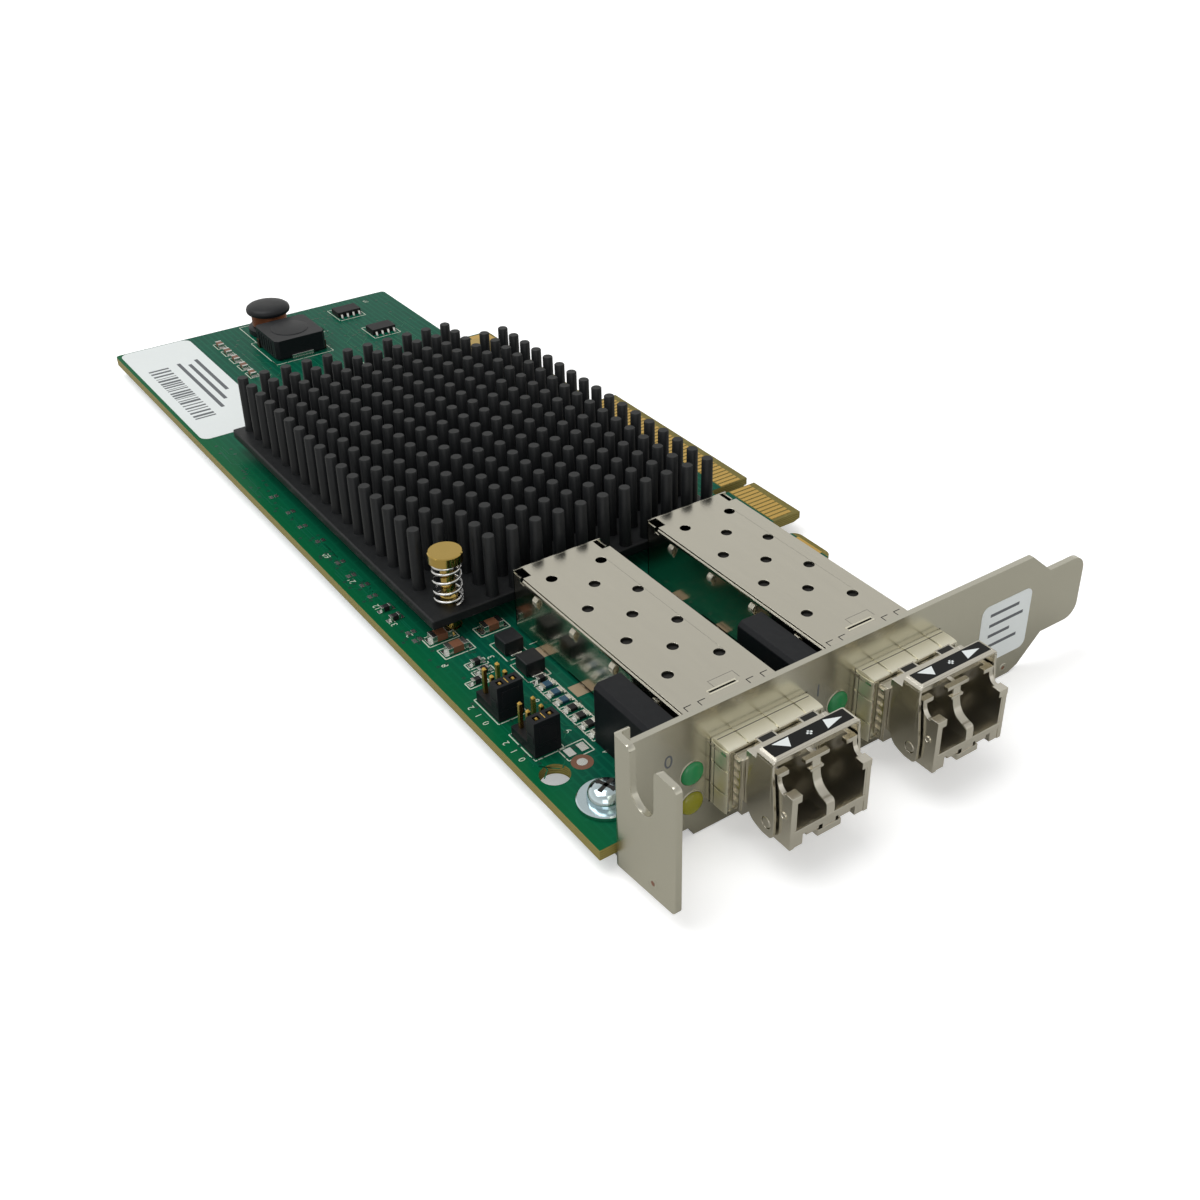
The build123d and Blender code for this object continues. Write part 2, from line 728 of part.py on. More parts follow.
def flange_outline():
    bottom_z = board_bottom_z - bracket_sheet
    rise_z = bottom_z + flange_bottom_rise
    slot_x0 = flange_slot_x - flange_slot_width / 2
    slot_x1 = flange_slot_x + flange_slot_width / 2
    slot_end_z = flange_slot_floor_z + flange_slot_width / 2
    corners = [(flange_end_x, rise_z), (flange_end_x, flange_top_z), (slot_x0, flange_top_z),
               (slot_x1, flange_top_z), (bracket_inner_x, flange_top_z)]
    face = outline([(bracket_inner_x, bottom_z), (flange_end_x, rise_z), (flange_end_x, flange_top_z),
                    (slot_x1, flange_top_z), (slot_x1, slot_end_z), (slot_x0, slot_end_z),
                    (slot_x0, flange_top_z), (bracket_inner_x, flange_top_z)])
    face = rounded(face, corners, flange_corner_radius)
    return face - Pos(flange_slot_x, slot_end_z) * Circle(flange_slot_width / 2)


def bent_sheet():
    inner_corner = (bracket_outer_x, bracket_y0 + bracket_sheet)
    face = outline([(bracket_inner_x, bracket_y0), (flange_end_x, bracket_y0),
                    (flange_end_x, bracket_y0 + bracket_sheet), inner_corner,
                    (bracket_outer_x, bracket_end_y), (bracket_inner_x, bracket_end_y)])
    face = rounded(face, [(bracket_inner_x, bracket_y0)], flange_bend_radius)
    face = rounded(face, [inner_corner], flange_bend_radius - bracket_sheet)
    return plate_xy(face, bracket_bottom_z - cut_over, flange_top_z + cut_over)


def bracket():
    sheet = bent_sheet()
    bend_y = bracket_y0 + bracket_sheet + flange_bend_radius
    plate_zone = plate_yz(bracket_plate_outline(), bracket_inner_x - cut_over, flange_end_x + cut_over)
    plate_zone -= block(bracket_inner_x - 2 * cut_over, flange_end_x + 2 * cut_over,
                        bracket_y0 - cut_over, bend_y, bracket_bottom_z - cut_over, flange_top_z)
    flange_zone = plate_xz(flange_outline(), bracket_y0 - cut_over, bend_y)
    part = (sheet & plate_zone) + (sheet & flange_zone)
    x0 = bracket_inner_x - cut_over
    x1 = bracket_outer_x + cut_over
    for y in port_centres_y:
        half = gasket_width / 2 + mouth_clearance
        part -= block(x0, x1, y - half, y + half, gasket_bottom_z - mouth_clearance,
                      gasket_top_z + mouth_clearance)
    for y in lens_hole_y:
        part -= [small_rod_x(y, z, lens_hole_diameter, x0, x1) for z in lens_z]
    return part + bracket_feet()


def bracket_feet():
    feet = []
    for y in screw_y:
        y0 = max(y - foot_width / 2, bracket_y0 + bracket_sheet)
        foot = block(bracket_inner_x - foot_reach, bracket_inner_x + bracket_sheet / 2, y0,
                     y + foot_width / 2, board_bottom_z - bracket_sheet, board_bottom_z)
        foot -= small_rod_z(screw_x, y, screw_diameter, board_bottom_z - bracket_sheet - cut_over,
                            board_bottom_z + cut_over)
        feet.append(foot)
    return feet


def bracket_screws():
    tip_z = board_bottom_z - bracket_sheet
    head_top = washer_thickness + screw_head_height
    return group([small_rod_z(screw_x, y, screw_head_diameter, washer_thickness, head_top)
                  + small_rod_z(screw_x, y, screw_diameter, tip_z, washer_thickness) for y in screw_y])


def washers():
    return group([small_rod_z(screw_x, y, washer_diameter, 0, washer_thickness)
                  - small_rod_z(screw_x, y, screw_diameter, -cut_over, washer_thickness + cut_over)
                  for y in screw_y])


def header_body(start_x):
    x1 = start_x + (header_columns - 1) * header_pitch + header_body_margin
    y1 = header_y + (header_rows - 1) * header_pitch + header_body_margin
    body = block(start_x - header_body_margin, x1, header_y - header_body_margin, y1,
                 0, header_body_height)
    for x, y in header_pin_places(start_x):
        body -= block(x - header_pin_width / 2, x + header_pin_width / 2, y - header_pin_width / 2,
                      y + header_pin_width / 2, -cut_over, header_body_height + cut_over)
    return body


def header_pins():
    pins = []
    for start_x in header_x:
        for x, y in header_pin_places(start_x):
            half = header_pin_width / 2
            pins.append(block(x - half, x + half, y - half, y + half,
                              board_bottom_z - header_tail, header_pin_top_z))
    return group(pins)


def jumper_caps():
    caps = []
    for start_x in header_x:
        x = start_x + (header_columns - 1) * header_pitch
        y1 = header_y + (header_rows - 1) * header_pitch
        cap = block(x - jumper_width / 2, x + jumper_width / 2, header_y - jumper_width / 2,
                    y1 + jumper_width / 2, header_body_height, header_body_height + jumper_height)
        half = header_pin_width / 2 + jumper_clearance
        for y in (header_y, y1):
            cap -= block(x - half, x + half, y - half, y + half, header_body_height - cut_over,
                         header_body_height + jumper_height + cut_over)
        caps.append(cap)
    return group(caps)


def drum_coil():
    core = small_rod_z(drum_x, drum_y, drum_waist_diameter, 0, drum_height)
    core += small_rod_z(drum_x, drum_y, drum_diameter, 0, drum_flange)
    return core + small_rod_z(drum_x, drum_y, drum_diameter, drum_height - drum_flange, drum_height)


def box_coil():
    half = box_coil_size / 2
    body = block(box_coil_x - half, box_coil_x + half, box_coil_y - half, box_coil_y + half,
                 0, box_coil_height)
    return fillet(body.edges().filter_by(Axis.Z), box_coil_size * 0.12)


def seated_boxes(centres, length, width, height):
    return group([block(x - length / 2, x + length / 2, y - width / 2, y + width / 2, 0, height)
                  for x, y in centres])


def small_coils():
    return seated_boxes(small_coil_centres, small_coil_size, small_coil_size, small_coil_height)


def chip_resistors():
    centres = [(resistor_first_x + i * resistor_pitch, resistor_y) for i in range(resistor_count)]
    return seated_boxes(centres, resistor_width, resistor_length, resistor_height)


def chip_capacitors():
    centres = [(row_part_first_x + i * row_part_pitch, row_part_y) for i in range(row_part_count)]
    row = seated_boxes(centres, resistor_length, resistor_width, capacitor_height * 0.7)
    main = seated_boxes(capacitor_centres, capacitor_width, capacitor_length, capacitor_height)
    small = seated_boxes(small_capacitor_centres, small_capacitor_width, small_capacitor_length,
                         small_capacitor_width)
    return group([row, main, small])


def rear_chips():
    return seated_boxes(rear_chip_centres, rear_chip_length, rear_chip_width, rear_chip_height)


def nodes():
    yield "board", board()
    yield "edge_contacts_top", edge_contacts(0)
    yield "edge_contacts_bottom", edge_contacts(board_bottom_z - contact_thickness)
    yield "tab_lands", tab_lands()
    yield "controller_chip", controller_chip()
    yield "thermal_pad", thermal_pad()
    yield "heatsink", heatsink()
    for end in pushpin_places:
        yield f"push_pin_{end}", push_pin(end)
        yield f"push_pin_spring_{end}", push_pin_spring(end)
    for number, centre_y in enumerate(port_centres_y, 1):
        yield f"cage_{number}", cage(centre_y)
        yield f"cage_gasket_{number}", gasket(centre_y)
        yield f"cage_connector_{number}", port_connector(centre_y)
        yield f"module_edge_{number}", module_edge(centre_y)
        yield f"module_housing_{number}", module_housing(centre_y)
        yield f"optical_sleeves_{number}", optical_sleeves(centre_y)
        yield f"bail_{number}", bail(centre_y)
        yield f"light_block_{number}", light_block(lens_hole_y[number - 1])
    yield "lenses_lower", lens_pair(lens_z[0])
    yield "lenses_upper", lens_pair(lens_z[1])
    yield "bracket", bracket()
    yield "bracket_screws", bracket_screws()
    yield "bracket_washers", washers()
    for number, start_x in enumerate(header_x, 1):
        yield f"header_body_{number}", header_body(start_x)
    yield "header_pins", header_pins()
    yield "jumper_caps", jumper_caps()
    yield "drum_coil", drum_coil()
    yield "box_coil", box_coil()
    yield "small_coils", small_coils()
    yield "chip_resistors", chip_resistors()
    yield "chip_capacitors", chip_capacitors()
    yield "rear_chips", rear_chips()


os.makedirs("parts", exist_ok=True)
for name, shape in nodes():
    export_step(to_origin * shape, os.path.join("parts", name + ".step"))
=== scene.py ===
"""Looks of a fibre channel adapter card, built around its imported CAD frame."""

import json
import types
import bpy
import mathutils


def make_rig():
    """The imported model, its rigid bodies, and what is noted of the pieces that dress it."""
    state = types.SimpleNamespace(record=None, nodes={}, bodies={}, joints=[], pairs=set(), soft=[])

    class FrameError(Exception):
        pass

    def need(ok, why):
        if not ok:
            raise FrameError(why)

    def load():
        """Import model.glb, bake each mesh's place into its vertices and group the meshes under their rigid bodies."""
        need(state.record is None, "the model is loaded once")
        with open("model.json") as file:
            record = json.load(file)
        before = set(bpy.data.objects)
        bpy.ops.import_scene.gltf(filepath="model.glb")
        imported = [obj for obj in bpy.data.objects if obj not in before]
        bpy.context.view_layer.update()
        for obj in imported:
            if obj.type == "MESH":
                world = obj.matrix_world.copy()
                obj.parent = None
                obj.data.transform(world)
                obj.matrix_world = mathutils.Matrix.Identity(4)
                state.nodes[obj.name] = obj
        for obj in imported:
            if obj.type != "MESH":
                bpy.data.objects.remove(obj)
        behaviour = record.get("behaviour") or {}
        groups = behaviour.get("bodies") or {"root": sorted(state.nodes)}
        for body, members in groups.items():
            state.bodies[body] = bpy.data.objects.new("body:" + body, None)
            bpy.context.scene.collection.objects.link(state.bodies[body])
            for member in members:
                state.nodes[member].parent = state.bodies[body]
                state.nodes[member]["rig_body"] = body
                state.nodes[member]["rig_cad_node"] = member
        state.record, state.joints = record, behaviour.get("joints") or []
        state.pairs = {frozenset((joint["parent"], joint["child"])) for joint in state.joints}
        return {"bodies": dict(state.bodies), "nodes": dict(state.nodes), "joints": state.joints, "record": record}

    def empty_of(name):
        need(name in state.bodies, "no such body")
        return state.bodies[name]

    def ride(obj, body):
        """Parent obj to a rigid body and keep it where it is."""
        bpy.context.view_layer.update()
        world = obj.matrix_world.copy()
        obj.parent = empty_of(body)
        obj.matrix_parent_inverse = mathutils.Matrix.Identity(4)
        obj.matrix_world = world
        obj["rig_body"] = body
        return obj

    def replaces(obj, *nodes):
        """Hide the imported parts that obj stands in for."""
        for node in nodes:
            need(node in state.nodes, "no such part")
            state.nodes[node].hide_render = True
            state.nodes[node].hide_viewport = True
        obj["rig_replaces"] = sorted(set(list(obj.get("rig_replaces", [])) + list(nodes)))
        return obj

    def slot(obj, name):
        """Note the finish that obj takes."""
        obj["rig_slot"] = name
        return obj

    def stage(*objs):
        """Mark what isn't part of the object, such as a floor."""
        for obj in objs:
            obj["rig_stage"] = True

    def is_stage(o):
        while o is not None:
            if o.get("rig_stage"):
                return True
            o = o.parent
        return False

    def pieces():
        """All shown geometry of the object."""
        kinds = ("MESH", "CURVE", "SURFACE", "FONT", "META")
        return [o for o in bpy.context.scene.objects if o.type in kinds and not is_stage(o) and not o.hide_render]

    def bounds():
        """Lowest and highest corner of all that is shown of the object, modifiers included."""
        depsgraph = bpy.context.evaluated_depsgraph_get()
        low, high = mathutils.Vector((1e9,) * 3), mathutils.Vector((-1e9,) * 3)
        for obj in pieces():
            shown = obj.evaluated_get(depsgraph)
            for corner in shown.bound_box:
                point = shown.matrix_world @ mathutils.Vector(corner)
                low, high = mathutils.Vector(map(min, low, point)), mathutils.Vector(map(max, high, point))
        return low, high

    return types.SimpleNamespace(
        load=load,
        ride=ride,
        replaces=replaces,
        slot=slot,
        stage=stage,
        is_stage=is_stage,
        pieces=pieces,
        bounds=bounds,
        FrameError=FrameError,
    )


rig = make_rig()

bl_info = {
    "name": "Fibre channel adapter",
    "version": (1, 0, 0),
    "blender": (4, 5, 0),
    "location": "View3D > Sidebar > Adapter",
    "description": "Builds the looks of a fibre channel adapter card around its CAD frame",
    "category": "Add Mesh",
}

import json
import math
import random

import bmesh
import bpy
from bpy.props import FloatProperty, FloatVectorProperty, IntProperty, PointerProperty
from mathutils import Euler, Vector

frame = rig.load()
cad_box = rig.bounds()
# Places are in board coordinates, in millimetres: X from the rear edge to the bracket, Y from the
# plain edge to the edge contacts, Z up from the component side. What belongs to one port is drawn
# with Y from that port's centre line.
NOTCH_X = 110.02
TIP_Y = 68.9
PORTS = (1, 2)
PORT_CENTRES_Y = (22.55, 45.25)
LENS_CENTRES_Y = (12.55, 35.25)
BRACKET_FRONT_X = 168.51
SCREW_X = 161.0
SCREW_CENTRES_Y = (5.4, 56.2)
BASE_TOP_Z = 4.07
CAGE_TOP_Z = 9.8
CAGE_FRONT_X = 171.7
CAGE_TAILS_X = (130.7, 140.8, 150.9)
MODULE_FRONT_X = 171.2
HINGE_X = 178.1
HINGE_Z = 3.6
STICKER_TOP_Z = 13.075
HEADER_STARTS_X = (135.75, 144.6)
HEADER_PITCH = 1.95
HEADER_ROWS_Y = (3.55, 5.5)
RESISTOR_START_X = 137.65
RESISTOR_PITCH = 2.02
RESISTOR_Y = 11.75
LARGE_CAPACITORS = ((123.25, 6.05), (119.5, 5.6), (121.6, 12.6))
SMALL_CAPACITORS = ((127.8, 6.6), (129.9, 6.5), (131.5, 4.6))
BARE_CAPACITORS = ((136.2, 11.75), (111.7, 2.6), (108.9, 2.6))
REAR_CAPACITORS = tuple((7.2 + 4.0 * k, 18.2) for k in range(5))
SMALL_COILS = ((127.4, 12.05), (133.2, 11.9))
REAR_CHIPS = ((6.4, 45.6), (18.4, 47.4))
DRUM_COIL = (5.6, 29.5)
BOX_COIL = (15.75, 29.5)
PRINT_HEIGHT = 0.012


def length(title, description, default):
    """A size in metres that the panel shows in the scene's own unit."""
    return FloatProperty(name=title, description=description, default=default, min=0.00001,
                         unit="LENGTH", precision=5)


def colour(title, description, default):
    """A scene-linear colour that the panel shows as a swatch."""
    return FloatVectorProperty(name=title, description=description, default=default, size=3,
                               min=0.0, max=1.0, subtype="COLOR")


class AdapterSizes(bpy.types.PropertyGroup):
    """Sizes of the pieces that a user would change"""

    pin_columns: IntProperty(name="Pin columns", description="Pins along the heatsink", default=19, min=2)
    pin_rows: IntProperty(name="Pin rows", description="Pins across the heatsink", default=13, min=2)
    pin_diameter: length("Pin diameter", "Thickness of one cooling pin", 0.0018)
    spring_wire: length("Spring wire", "Thickness of the push pin springs' wire", 0.00042)
    spring_turns: FloatProperty(name="Spring turns", description="Turns of the front spring",
                                default=5.0, min=1.0)
    vent_diameter: length("Vent diameter", "Width of the round vents in the cage tops", 0.0016)
    cage_sheet: length("Cage sheet", "Thickness of the cage sheet", 0.00025)
    bail_sheet: length("Bail sheet", "Thickness of the bail arms", 0.0004)
    lens_diameter: length("Lens diameter", "Width of one indicator lens", 0.0033)
    print_width: length("Print line", "Width of the printed lines on the board", 0.00016)
    edge_rounding: length("Edge rounding", "Radius of broken edges on metal pieces", 0.00008)


class AdapterColours(bpy.types.PropertyGroup):
    """Colours of the finishes"""

    mask: colour("Solder mask", "Green solder mask", (0.002, 0.074, 0.044))
    # Painted light: a paler green for the plain edge, where light falls on the board while the rest lies in shade.
    mask_painted_light: colour("Mask at the edge", "Lighter mask near the plain edge", (0.002, 0.11, 0.034))
    laminate: colour("Laminate", "Bare board edge", (0.3, 0.25, 0.075))
    gold: colour("Gold", "Edge contacts and pins", (0.62, 0.4, 0.1))
    brass: colour("Brass", "Push pins", (0.5, 0.35, 0.1))
    black_metal: colour("Black metal", "Anodised heatsink", (0.009, 0.01, 0.011))
    black_plastic: colour("Black plastic", "Headers and light blocks", (0.007, 0.008, 0.01))
    nickel: colour("Nickel sheet", "Cages and gaskets", (0.6, 0.575, 0.49))
    casting: colour("Casting", "Module noses and bails", (0.66, 0.63, 0.55))
    bracket: colour("Bracket", "Bracket sheet", (0.58, 0.565, 0.48))
    zinc: colour("Zinc", "Screws and washers", (0.55, 0.66, 0.7))
    chrome: colour("Spring steel", "Spring wire", (0.72, 0.72, 0.72))
    print_white: colour("Print", "Printed lines on the board", (0.55, 0.6, 0.5))
    paper: colour("Paper", "Labels", (0.76, 0.8, 0.79))
    ceramic: colour("Ceramic", "Brown capacitors", (0.17, 0.07, 0.035))
    lens_green: colour("Green lens", "Upper indicator lenses", (0.016, 0.24, 0.075))
    lens_yellow: colour("Yellow lens", "Lower indicator lenses", (0.26, 0.25, 0.01))
    floor: colour("Floor", "Pale studio floor", (0.9, 0.9, 0.9))


def sizes():
    return bpy.context.scene.adapter_sizes


def colours():
    return bpy.context.scene.adapter_colours


def mm(metres):
    return metres * 1000


# Shapes


def at(x, y, z):
    """The row-frame place in metres of a point in board coordinates."""
    return Vector(((x - NOTCH_X) / 1000, (y - TIP_Y) / 1000, z / 1000))


def on_plane(plane, u, v, w):
    """Board coordinates of (u, v) in a plane, with w along the axis that is left over."""
    return {"xy": (u, v, w), "xz": (u, w, v), "yz": (w, u, v)}[plane]


def add_faces(bm, points, faces, slot=0):
    corners = [bm.verts.new(at(*p)) for p in points]
    for face in faces:
        bm.faces.new([corners[i] for i in face]).material_index = slot


def box(bm, x0, x1, y0, y1, z0, z1, slot=0):
    points = [(x, y, z) for x in (x0, x1) for y in (y0, y1) for z in (z0, z1)]
    faces = [(0, 1, 3, 2), (4, 6, 7, 5), (0, 4, 5, 1), (2, 3, 7, 6), (0, 2, 6, 4), (1, 5, 7, 3)]
    add_faces(bm, points, faces, slot)


def block(bm, x, y, half_x, half_y, z0, z1, slot=0):
    """A box whose middle stands on (x, y)."""
    box(bm, x - half_x, x + half_x, y - half_y, y + half_y, z0, z1, slot)


def prism(bm, outline, plane, low, high, slot=0):
    """A plate between low and high with an outline drawn in the plane."""
    n = len(outline)
    points = [on_plane(plane, u, v, w) for w in (low, high) for u, v in outline]
    walls = [(i, (i + 1) % n, n + (i + 1) % n, n + i) for i in range(n)]
    add_faces(bm, points, [tuple(range(n)), tuple(range(n, 2 * n))] + walls, slot)


def ribbon(bm, line, thickness, plane, low, high, slot=0):
    """A bent strip of sheet that follows a line drawn in the plane."""
    left = []
    right = []
    for i, (u, v) in enumerate(line):
        u0, v0 = line[max(i - 1, 0)]
        u1, v1 = line[min(i + 1, len(line) - 1)]
        run = math.hypot(u1 - u0, v1 - v0)
        du = (v0 - v1) / run * thickness / 2
        dv = (u1 - u0) / run * thickness / 2
        left.append((u + du, v + dv))
        right.append((u - du, v - dv))
    for i in range(len(line) - 1):
        prism(bm, [left[i], left[i + 1], right[i + 1], right[i]], plane, low, high, slot)


def curved(points, steps=5):
    """A smooth line through the points."""
    line = []
    for i in range(len(points) - 1):
        a = Vector(points[max(i - 1, 0)])
        b = Vector(points[i])
        c = Vector(points[i + 1])
        d = Vector(points[min(i + 2, len(points) - 1)])
        for k in range(steps):
            t = k / steps
            spot = b + (c - a) * t / 2 + (a - b * 2.5 + c * 2 - d / 2) * t ** 2
            line.append(tuple(spot + (b * 1.5 - a / 2 - c * 1.5 + d / 2) * t ** 3))
    return line + [tuple(points[-1])]


def rectangle(u0, u1, v0, v1):
    return [(u0, v0), (u1, v0), (u1, v1), (u0, v1)]


def square(u, v, half):
    return rectangle(u - half, u + half, v - half, v + half)


def circle(u, v, diameter, sides=24):
    return [(u + diameter / 2 * math.cos(2 * math.pi * k / sides),
             v + diameter / 2 * math.sin(2 * math.pi * k / sides)) for k in range(sides)]


def rounded_rectangle(u0, u1, v0, v1, radius):
    outline = []
    for u, v, start in ((u1 - radius, v1 - radius, 0), (u0 + radius, v1 - radius, 90),
                        (u0 + radius, v0 + radius, 180), (u1 - radius, v0 + radius, 270)):
        for k in range(7):
            turn = math.radians(start + 15 * k)
            outline.append((u + radius * math.cos(turn), v + radius * math.sin(turn)))
    return outline


def join_rings(bm, rings, slot):
    """Walls from ring to ring, and a face at either end."""
    for low, high in zip(rings, rings[1:]):
        for k in range(len(low)):
            after = (k + 1) % len(low)
            bm.faces.new((low[k], low[after], high[after], high[k])).material_index = slot
    for ring in (rings[0], rings[-1]):
        bm.faces.new(ring).material_index = slot


def turned(bm, centre, profile, plane="xy", sides=24, slot=0):
    """A turned piece with circles in the plane and a profile of (radius, place along the axis)."""
    middle = Vector(centre)
    rings = []
    for radius, along in profile:
        spots = [middle + Vector(on_plane(plane, u, v, along)) for u, v in circle(0, 0, 2 * radius, sides)]
        rings.append([bm.verts.new(at(*spot)) for spot in spots])
    join_rings(bm, rings, slot)


def wire(bm, points, radius, sides=8, slot=0):
    """A round wire that follows points in board coordinates."""
    rings = []
    for i, point in enumerate(points):
        before = Vector(points[max(i - 1, 0)])
        along = (Vector(points[min(i + 1, len(points) - 1)]) - before).normalized()
        upright = Vector((0, 0, 1)) if abs(along.z) < 0.9 else Vector((1, 0, 0))
        across = along.cross(upright).normalized()
        up = across.cross(along)
        spots = [Vector(point) + across * u + up * v for u, v in circle(0, 0, 2 * radius, sides)]
        rings.append([bm.verts.new(at(*spot)) for spot in spots])
    join_rings(bm, rings, slot)


def add_filled(bm, curve, place, slot):
    """Fills a flat curve, adds it to the mesh and throws the curve away."""
    holder = bpy.data.objects.new("filled", curve)
    mesh = bpy.data.meshes.new_from_object(holder)
    corners = [bm.verts.new(at(*place(v.co))) for v in mesh.vertices]
    for polygon in mesh.polygons:
        bm.faces.new([corners[i] for i in polygon.vertices]).material_index = slot
    bmesh.ops.remove_doubles(bm, verts=corners, dist=1e-7)
    bpy.data.objects.remove(holder)
    bpy.data.curves.remove(curve)
    bpy.data.meshes.remove(mesh)


def cut_sheet(bm, outline, holes, plane, low, high, slot=0):
    """A sheet with an outline and holes, each a loop of (u, v) points."""
    curve = bpy.data.curves.new("cut sheet", "CURVE")
    curve.dimensions = "2D"
    curve.fill_mode = "BOTH"
    curve.extrude = (high - low) / 2
    for loop in [outline] + holes:
        spline = curve.splines.new("POLY")
        spline.points.add(len(loop) - 1)
        for point, (u, v) in zip(spline.points, loop):
            point.co = (u, v, 0, 1)
        spline.use_cyclic_u = True
    middle = (low + high) / 2
    add_filled(bm, curve, lambda co: on_plane(plane, co.x, co.y, middle + co.z), slot)


def figure(bm, text, height, place, slot=0):
    """A printed figure; place turns its flat (u, v) into board coordinates."""
    curve = bpy.data.curves.new("figure", "FONT")
    curve.body = text
    curve.size = height
    curve.extrude = 0.005
    curve.align_x = "CENTER"
    curve.align_y = "CENTER"
    add_filled(bm, curve, place, slot)


def object_of(bm, name, materials):
    """Turns what was drawn into an object of the scene."""
    mesh = bpy.data.meshes.new(name)
    bm.to_mesh(mesh)
    bm.free()
    for material in materials:
        mesh.materials.append(material)
    shown = bpy.data.objects.new(name, mesh)
    bpy.context.scene.collection.objects.link(shown)
    return shown


def piece(name, bm, finishes, slot, body="adapter", port=0, rounding=0.0, sharp=35.0, replaces=()):
    """Makes an object of the mesh, which rides on a body and may stand for CAD nodes.

    A port's piece is moved to the port's centre line, and its names get the port's number.
    """
    if port:
        name = f"{name}_{port}"
        replaces = [f"{node}_{port}" for node in replaces]
        bmesh.ops.translate(bm, verts=bm.verts, vec=(0, PORT_CENTRES_Y[port - 1] / 1000, 0))
    bmesh.ops.recalc_face_normals(bm, faces=bm.faces)
    for face in bm.faces:
        face.smooth = True
    for edge in bm.edges:
        if len(edge.link_faces) == 2:
            edge.smooth = edge.calc_face_angle() < math.radians(sharp)
    shown = object_of(bm, name, [finish(title) for title in finishes])
    if rounding:
        round_edges(shown, rounding)
    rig.ride(shown, body)
    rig.slot(shown, slot)
    if replaces:
        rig.replaces(shown, *replaces)


def round_edges(shown, radius):
    """Breaks the sharp edges to a radius in millimetres."""
    bevel = shown.modifiers.new("broken edges", "BEVEL")
    bevel.width = radius / 1000
    bevel.segments = 2
    bevel.limit_method = "ANGLE"
    bevel.angle_limit = math.radians(40)
    bevel.harden_normals = True


# Effects that more than one finish uses


def group_sockets(tree, inputs, outputs):
    """Sockets for a shader node group: inputs by name and default, outputs by name and kind."""
    for title, default in inputs.items():
        kind = "Float" if isinstance(default, float) else {3: "Vector", 4: "Color"}[len(default)]
        socket = tree.interface.new_socket(name=title, in_out="INPUT", socket_type=f"NodeSocket{kind}")
        socket.default_value = default
    for title, kind in outputs.items():
        tree.interface.new_socket(name=title, in_out="OUTPUT", socket_type=f"NodeSocket{kind}")
    return tree.nodes.new("NodeGroupInput").outputs, tree.nodes.new("NodeGroupOutput").inputs


def add_node(tree, kind, inputs, **settings):
    """A shader node with its settings, whose inputs by name or number take a value or a link."""
    node = tree.nodes.new(f"ShaderNode{kind}")
    for key, value in settings.items():
        setattr(node, key, value)
    for key, value in inputs.items():
        if isinstance(value, bpy.types.NodeSocket):
            tree.links.new(value, node.inputs[key])
        else:
            node.inputs[key].default_value = value
    return node.outputs


def maths(tree, operation, *values):
    return add_node(tree, "Math", dict(enumerate(values)), operation=operation)[0]


def blended(tree, factor, first, second, blend_type="MIX"):
    """A colour that goes from the first to the second with the factor."""
    inputs = {0: factor, 6: first, 7: second}
    return add_node(tree, "Mix", inputs, data_type="RGBA", blend_type=blend_type)[2]


def product(tree, first, second):
    """Two colours or vectors multiplied."""
    return add_node(tree, "VectorMath", {0: first, 1: second}, operation="MULTIPLY")[0]


def spread_about_one(tree, value, spread):
    """Turns a 0 to 1 value into 1 plus or minus the spread."""
    return maths(tree, "ADD", maths(tree, "MULTIPLY", maths(tree, "SUBTRACT", value, 0.5), spread), 1.0)


def object_place(tree):
    return add_node(tree, "TexCoord", {})["Object"]


def surface_lean(tree):
    """The Z part of the surface's own direction: one where it looks straight up."""
    form = add_node(tree, "NewGeometry", {})
    return add_node(tree, "SeparateXYZ", {0: form["Normal"]})["Z"]


def shared_group(name, fill):
    """The node group of that name, filled when it is first asked for."""
    if name not in bpy.data.node_groups:
        fill(bpy.data.node_groups.new(name, "ShaderNodeTree"))
    return bpy.data.node_groups[name]


def fill_grain(tree):
    """Cloudy colour, uneven gloss and a fine surface height."""
    taken, given = group_sockets(
        tree,
        {"Colour": (0.5, 0.5, 0.5, 1), "Colour Spread": 0.2, "Roughness": 0.5, "Roughness Spread": 0.2,
         "Scale": 300.0, "Stretch": (1, 1, 1)},
        {"Colour": "Color", "Roughness": "Float", "Height": "Float"})
    place = product(tree, object_place(tree), taken["Stretch"])
    fine = add_node(tree, "TexNoise", {"Vector": place, "Scale": taken["Scale"], "Detail": 3.0})["Fac"]
    wide = maths(tree, "MULTIPLY", taken["Scale"], 0.12)
    broad = add_node(tree, "TexNoise", {"Vector": place, "Scale": wide, "Detail": 2.0})["Fac"]
    tone = maths(tree, "MULTIPLY", maths(tree, "ADD", fine, broad), 0.5)
    shade = spread_about_one(tree, tone, taken["Colour Spread"])
    gloss = spread_about_one(tree, broad, taken["Roughness Spread"])
    tree.links.new(product(tree, taken["Colour"], shade), given["Colour"])
    tree.links.new(maths(tree, "MULTIPLY", taken["Roughness"], gloss), given["Roughness"])
    tree.links.new(fine, given["Height"])


def fill_dust(tree):
    """Dust and handling marks on faces that look up."""
    taken, given = group_sockets(
        tree, {"Colour": (0.5, 0.5, 0.5, 1), "Amount": 0.1, "Dust": (0.35, 0.35, 0.33, 1)},
        {"Colour": "Color"})
    place = object_place(tree)
    specks = add_node(tree, "TexNoise", {"Vector": place, "Scale": 900.0, "Detail": 4.0})["Fac"]
    lit = maths(tree, "MULTIPLY", specks, maths(tree, "MAXIMUM", surface_lean(tree), 0.0))
    mask = maths(tree, "MULTIPLY", lit, taken["Amount"])
    tree.links.new(blended(tree, mask, taken["Colour"], taken["Dust"]), given["Colour"])


# Finishes


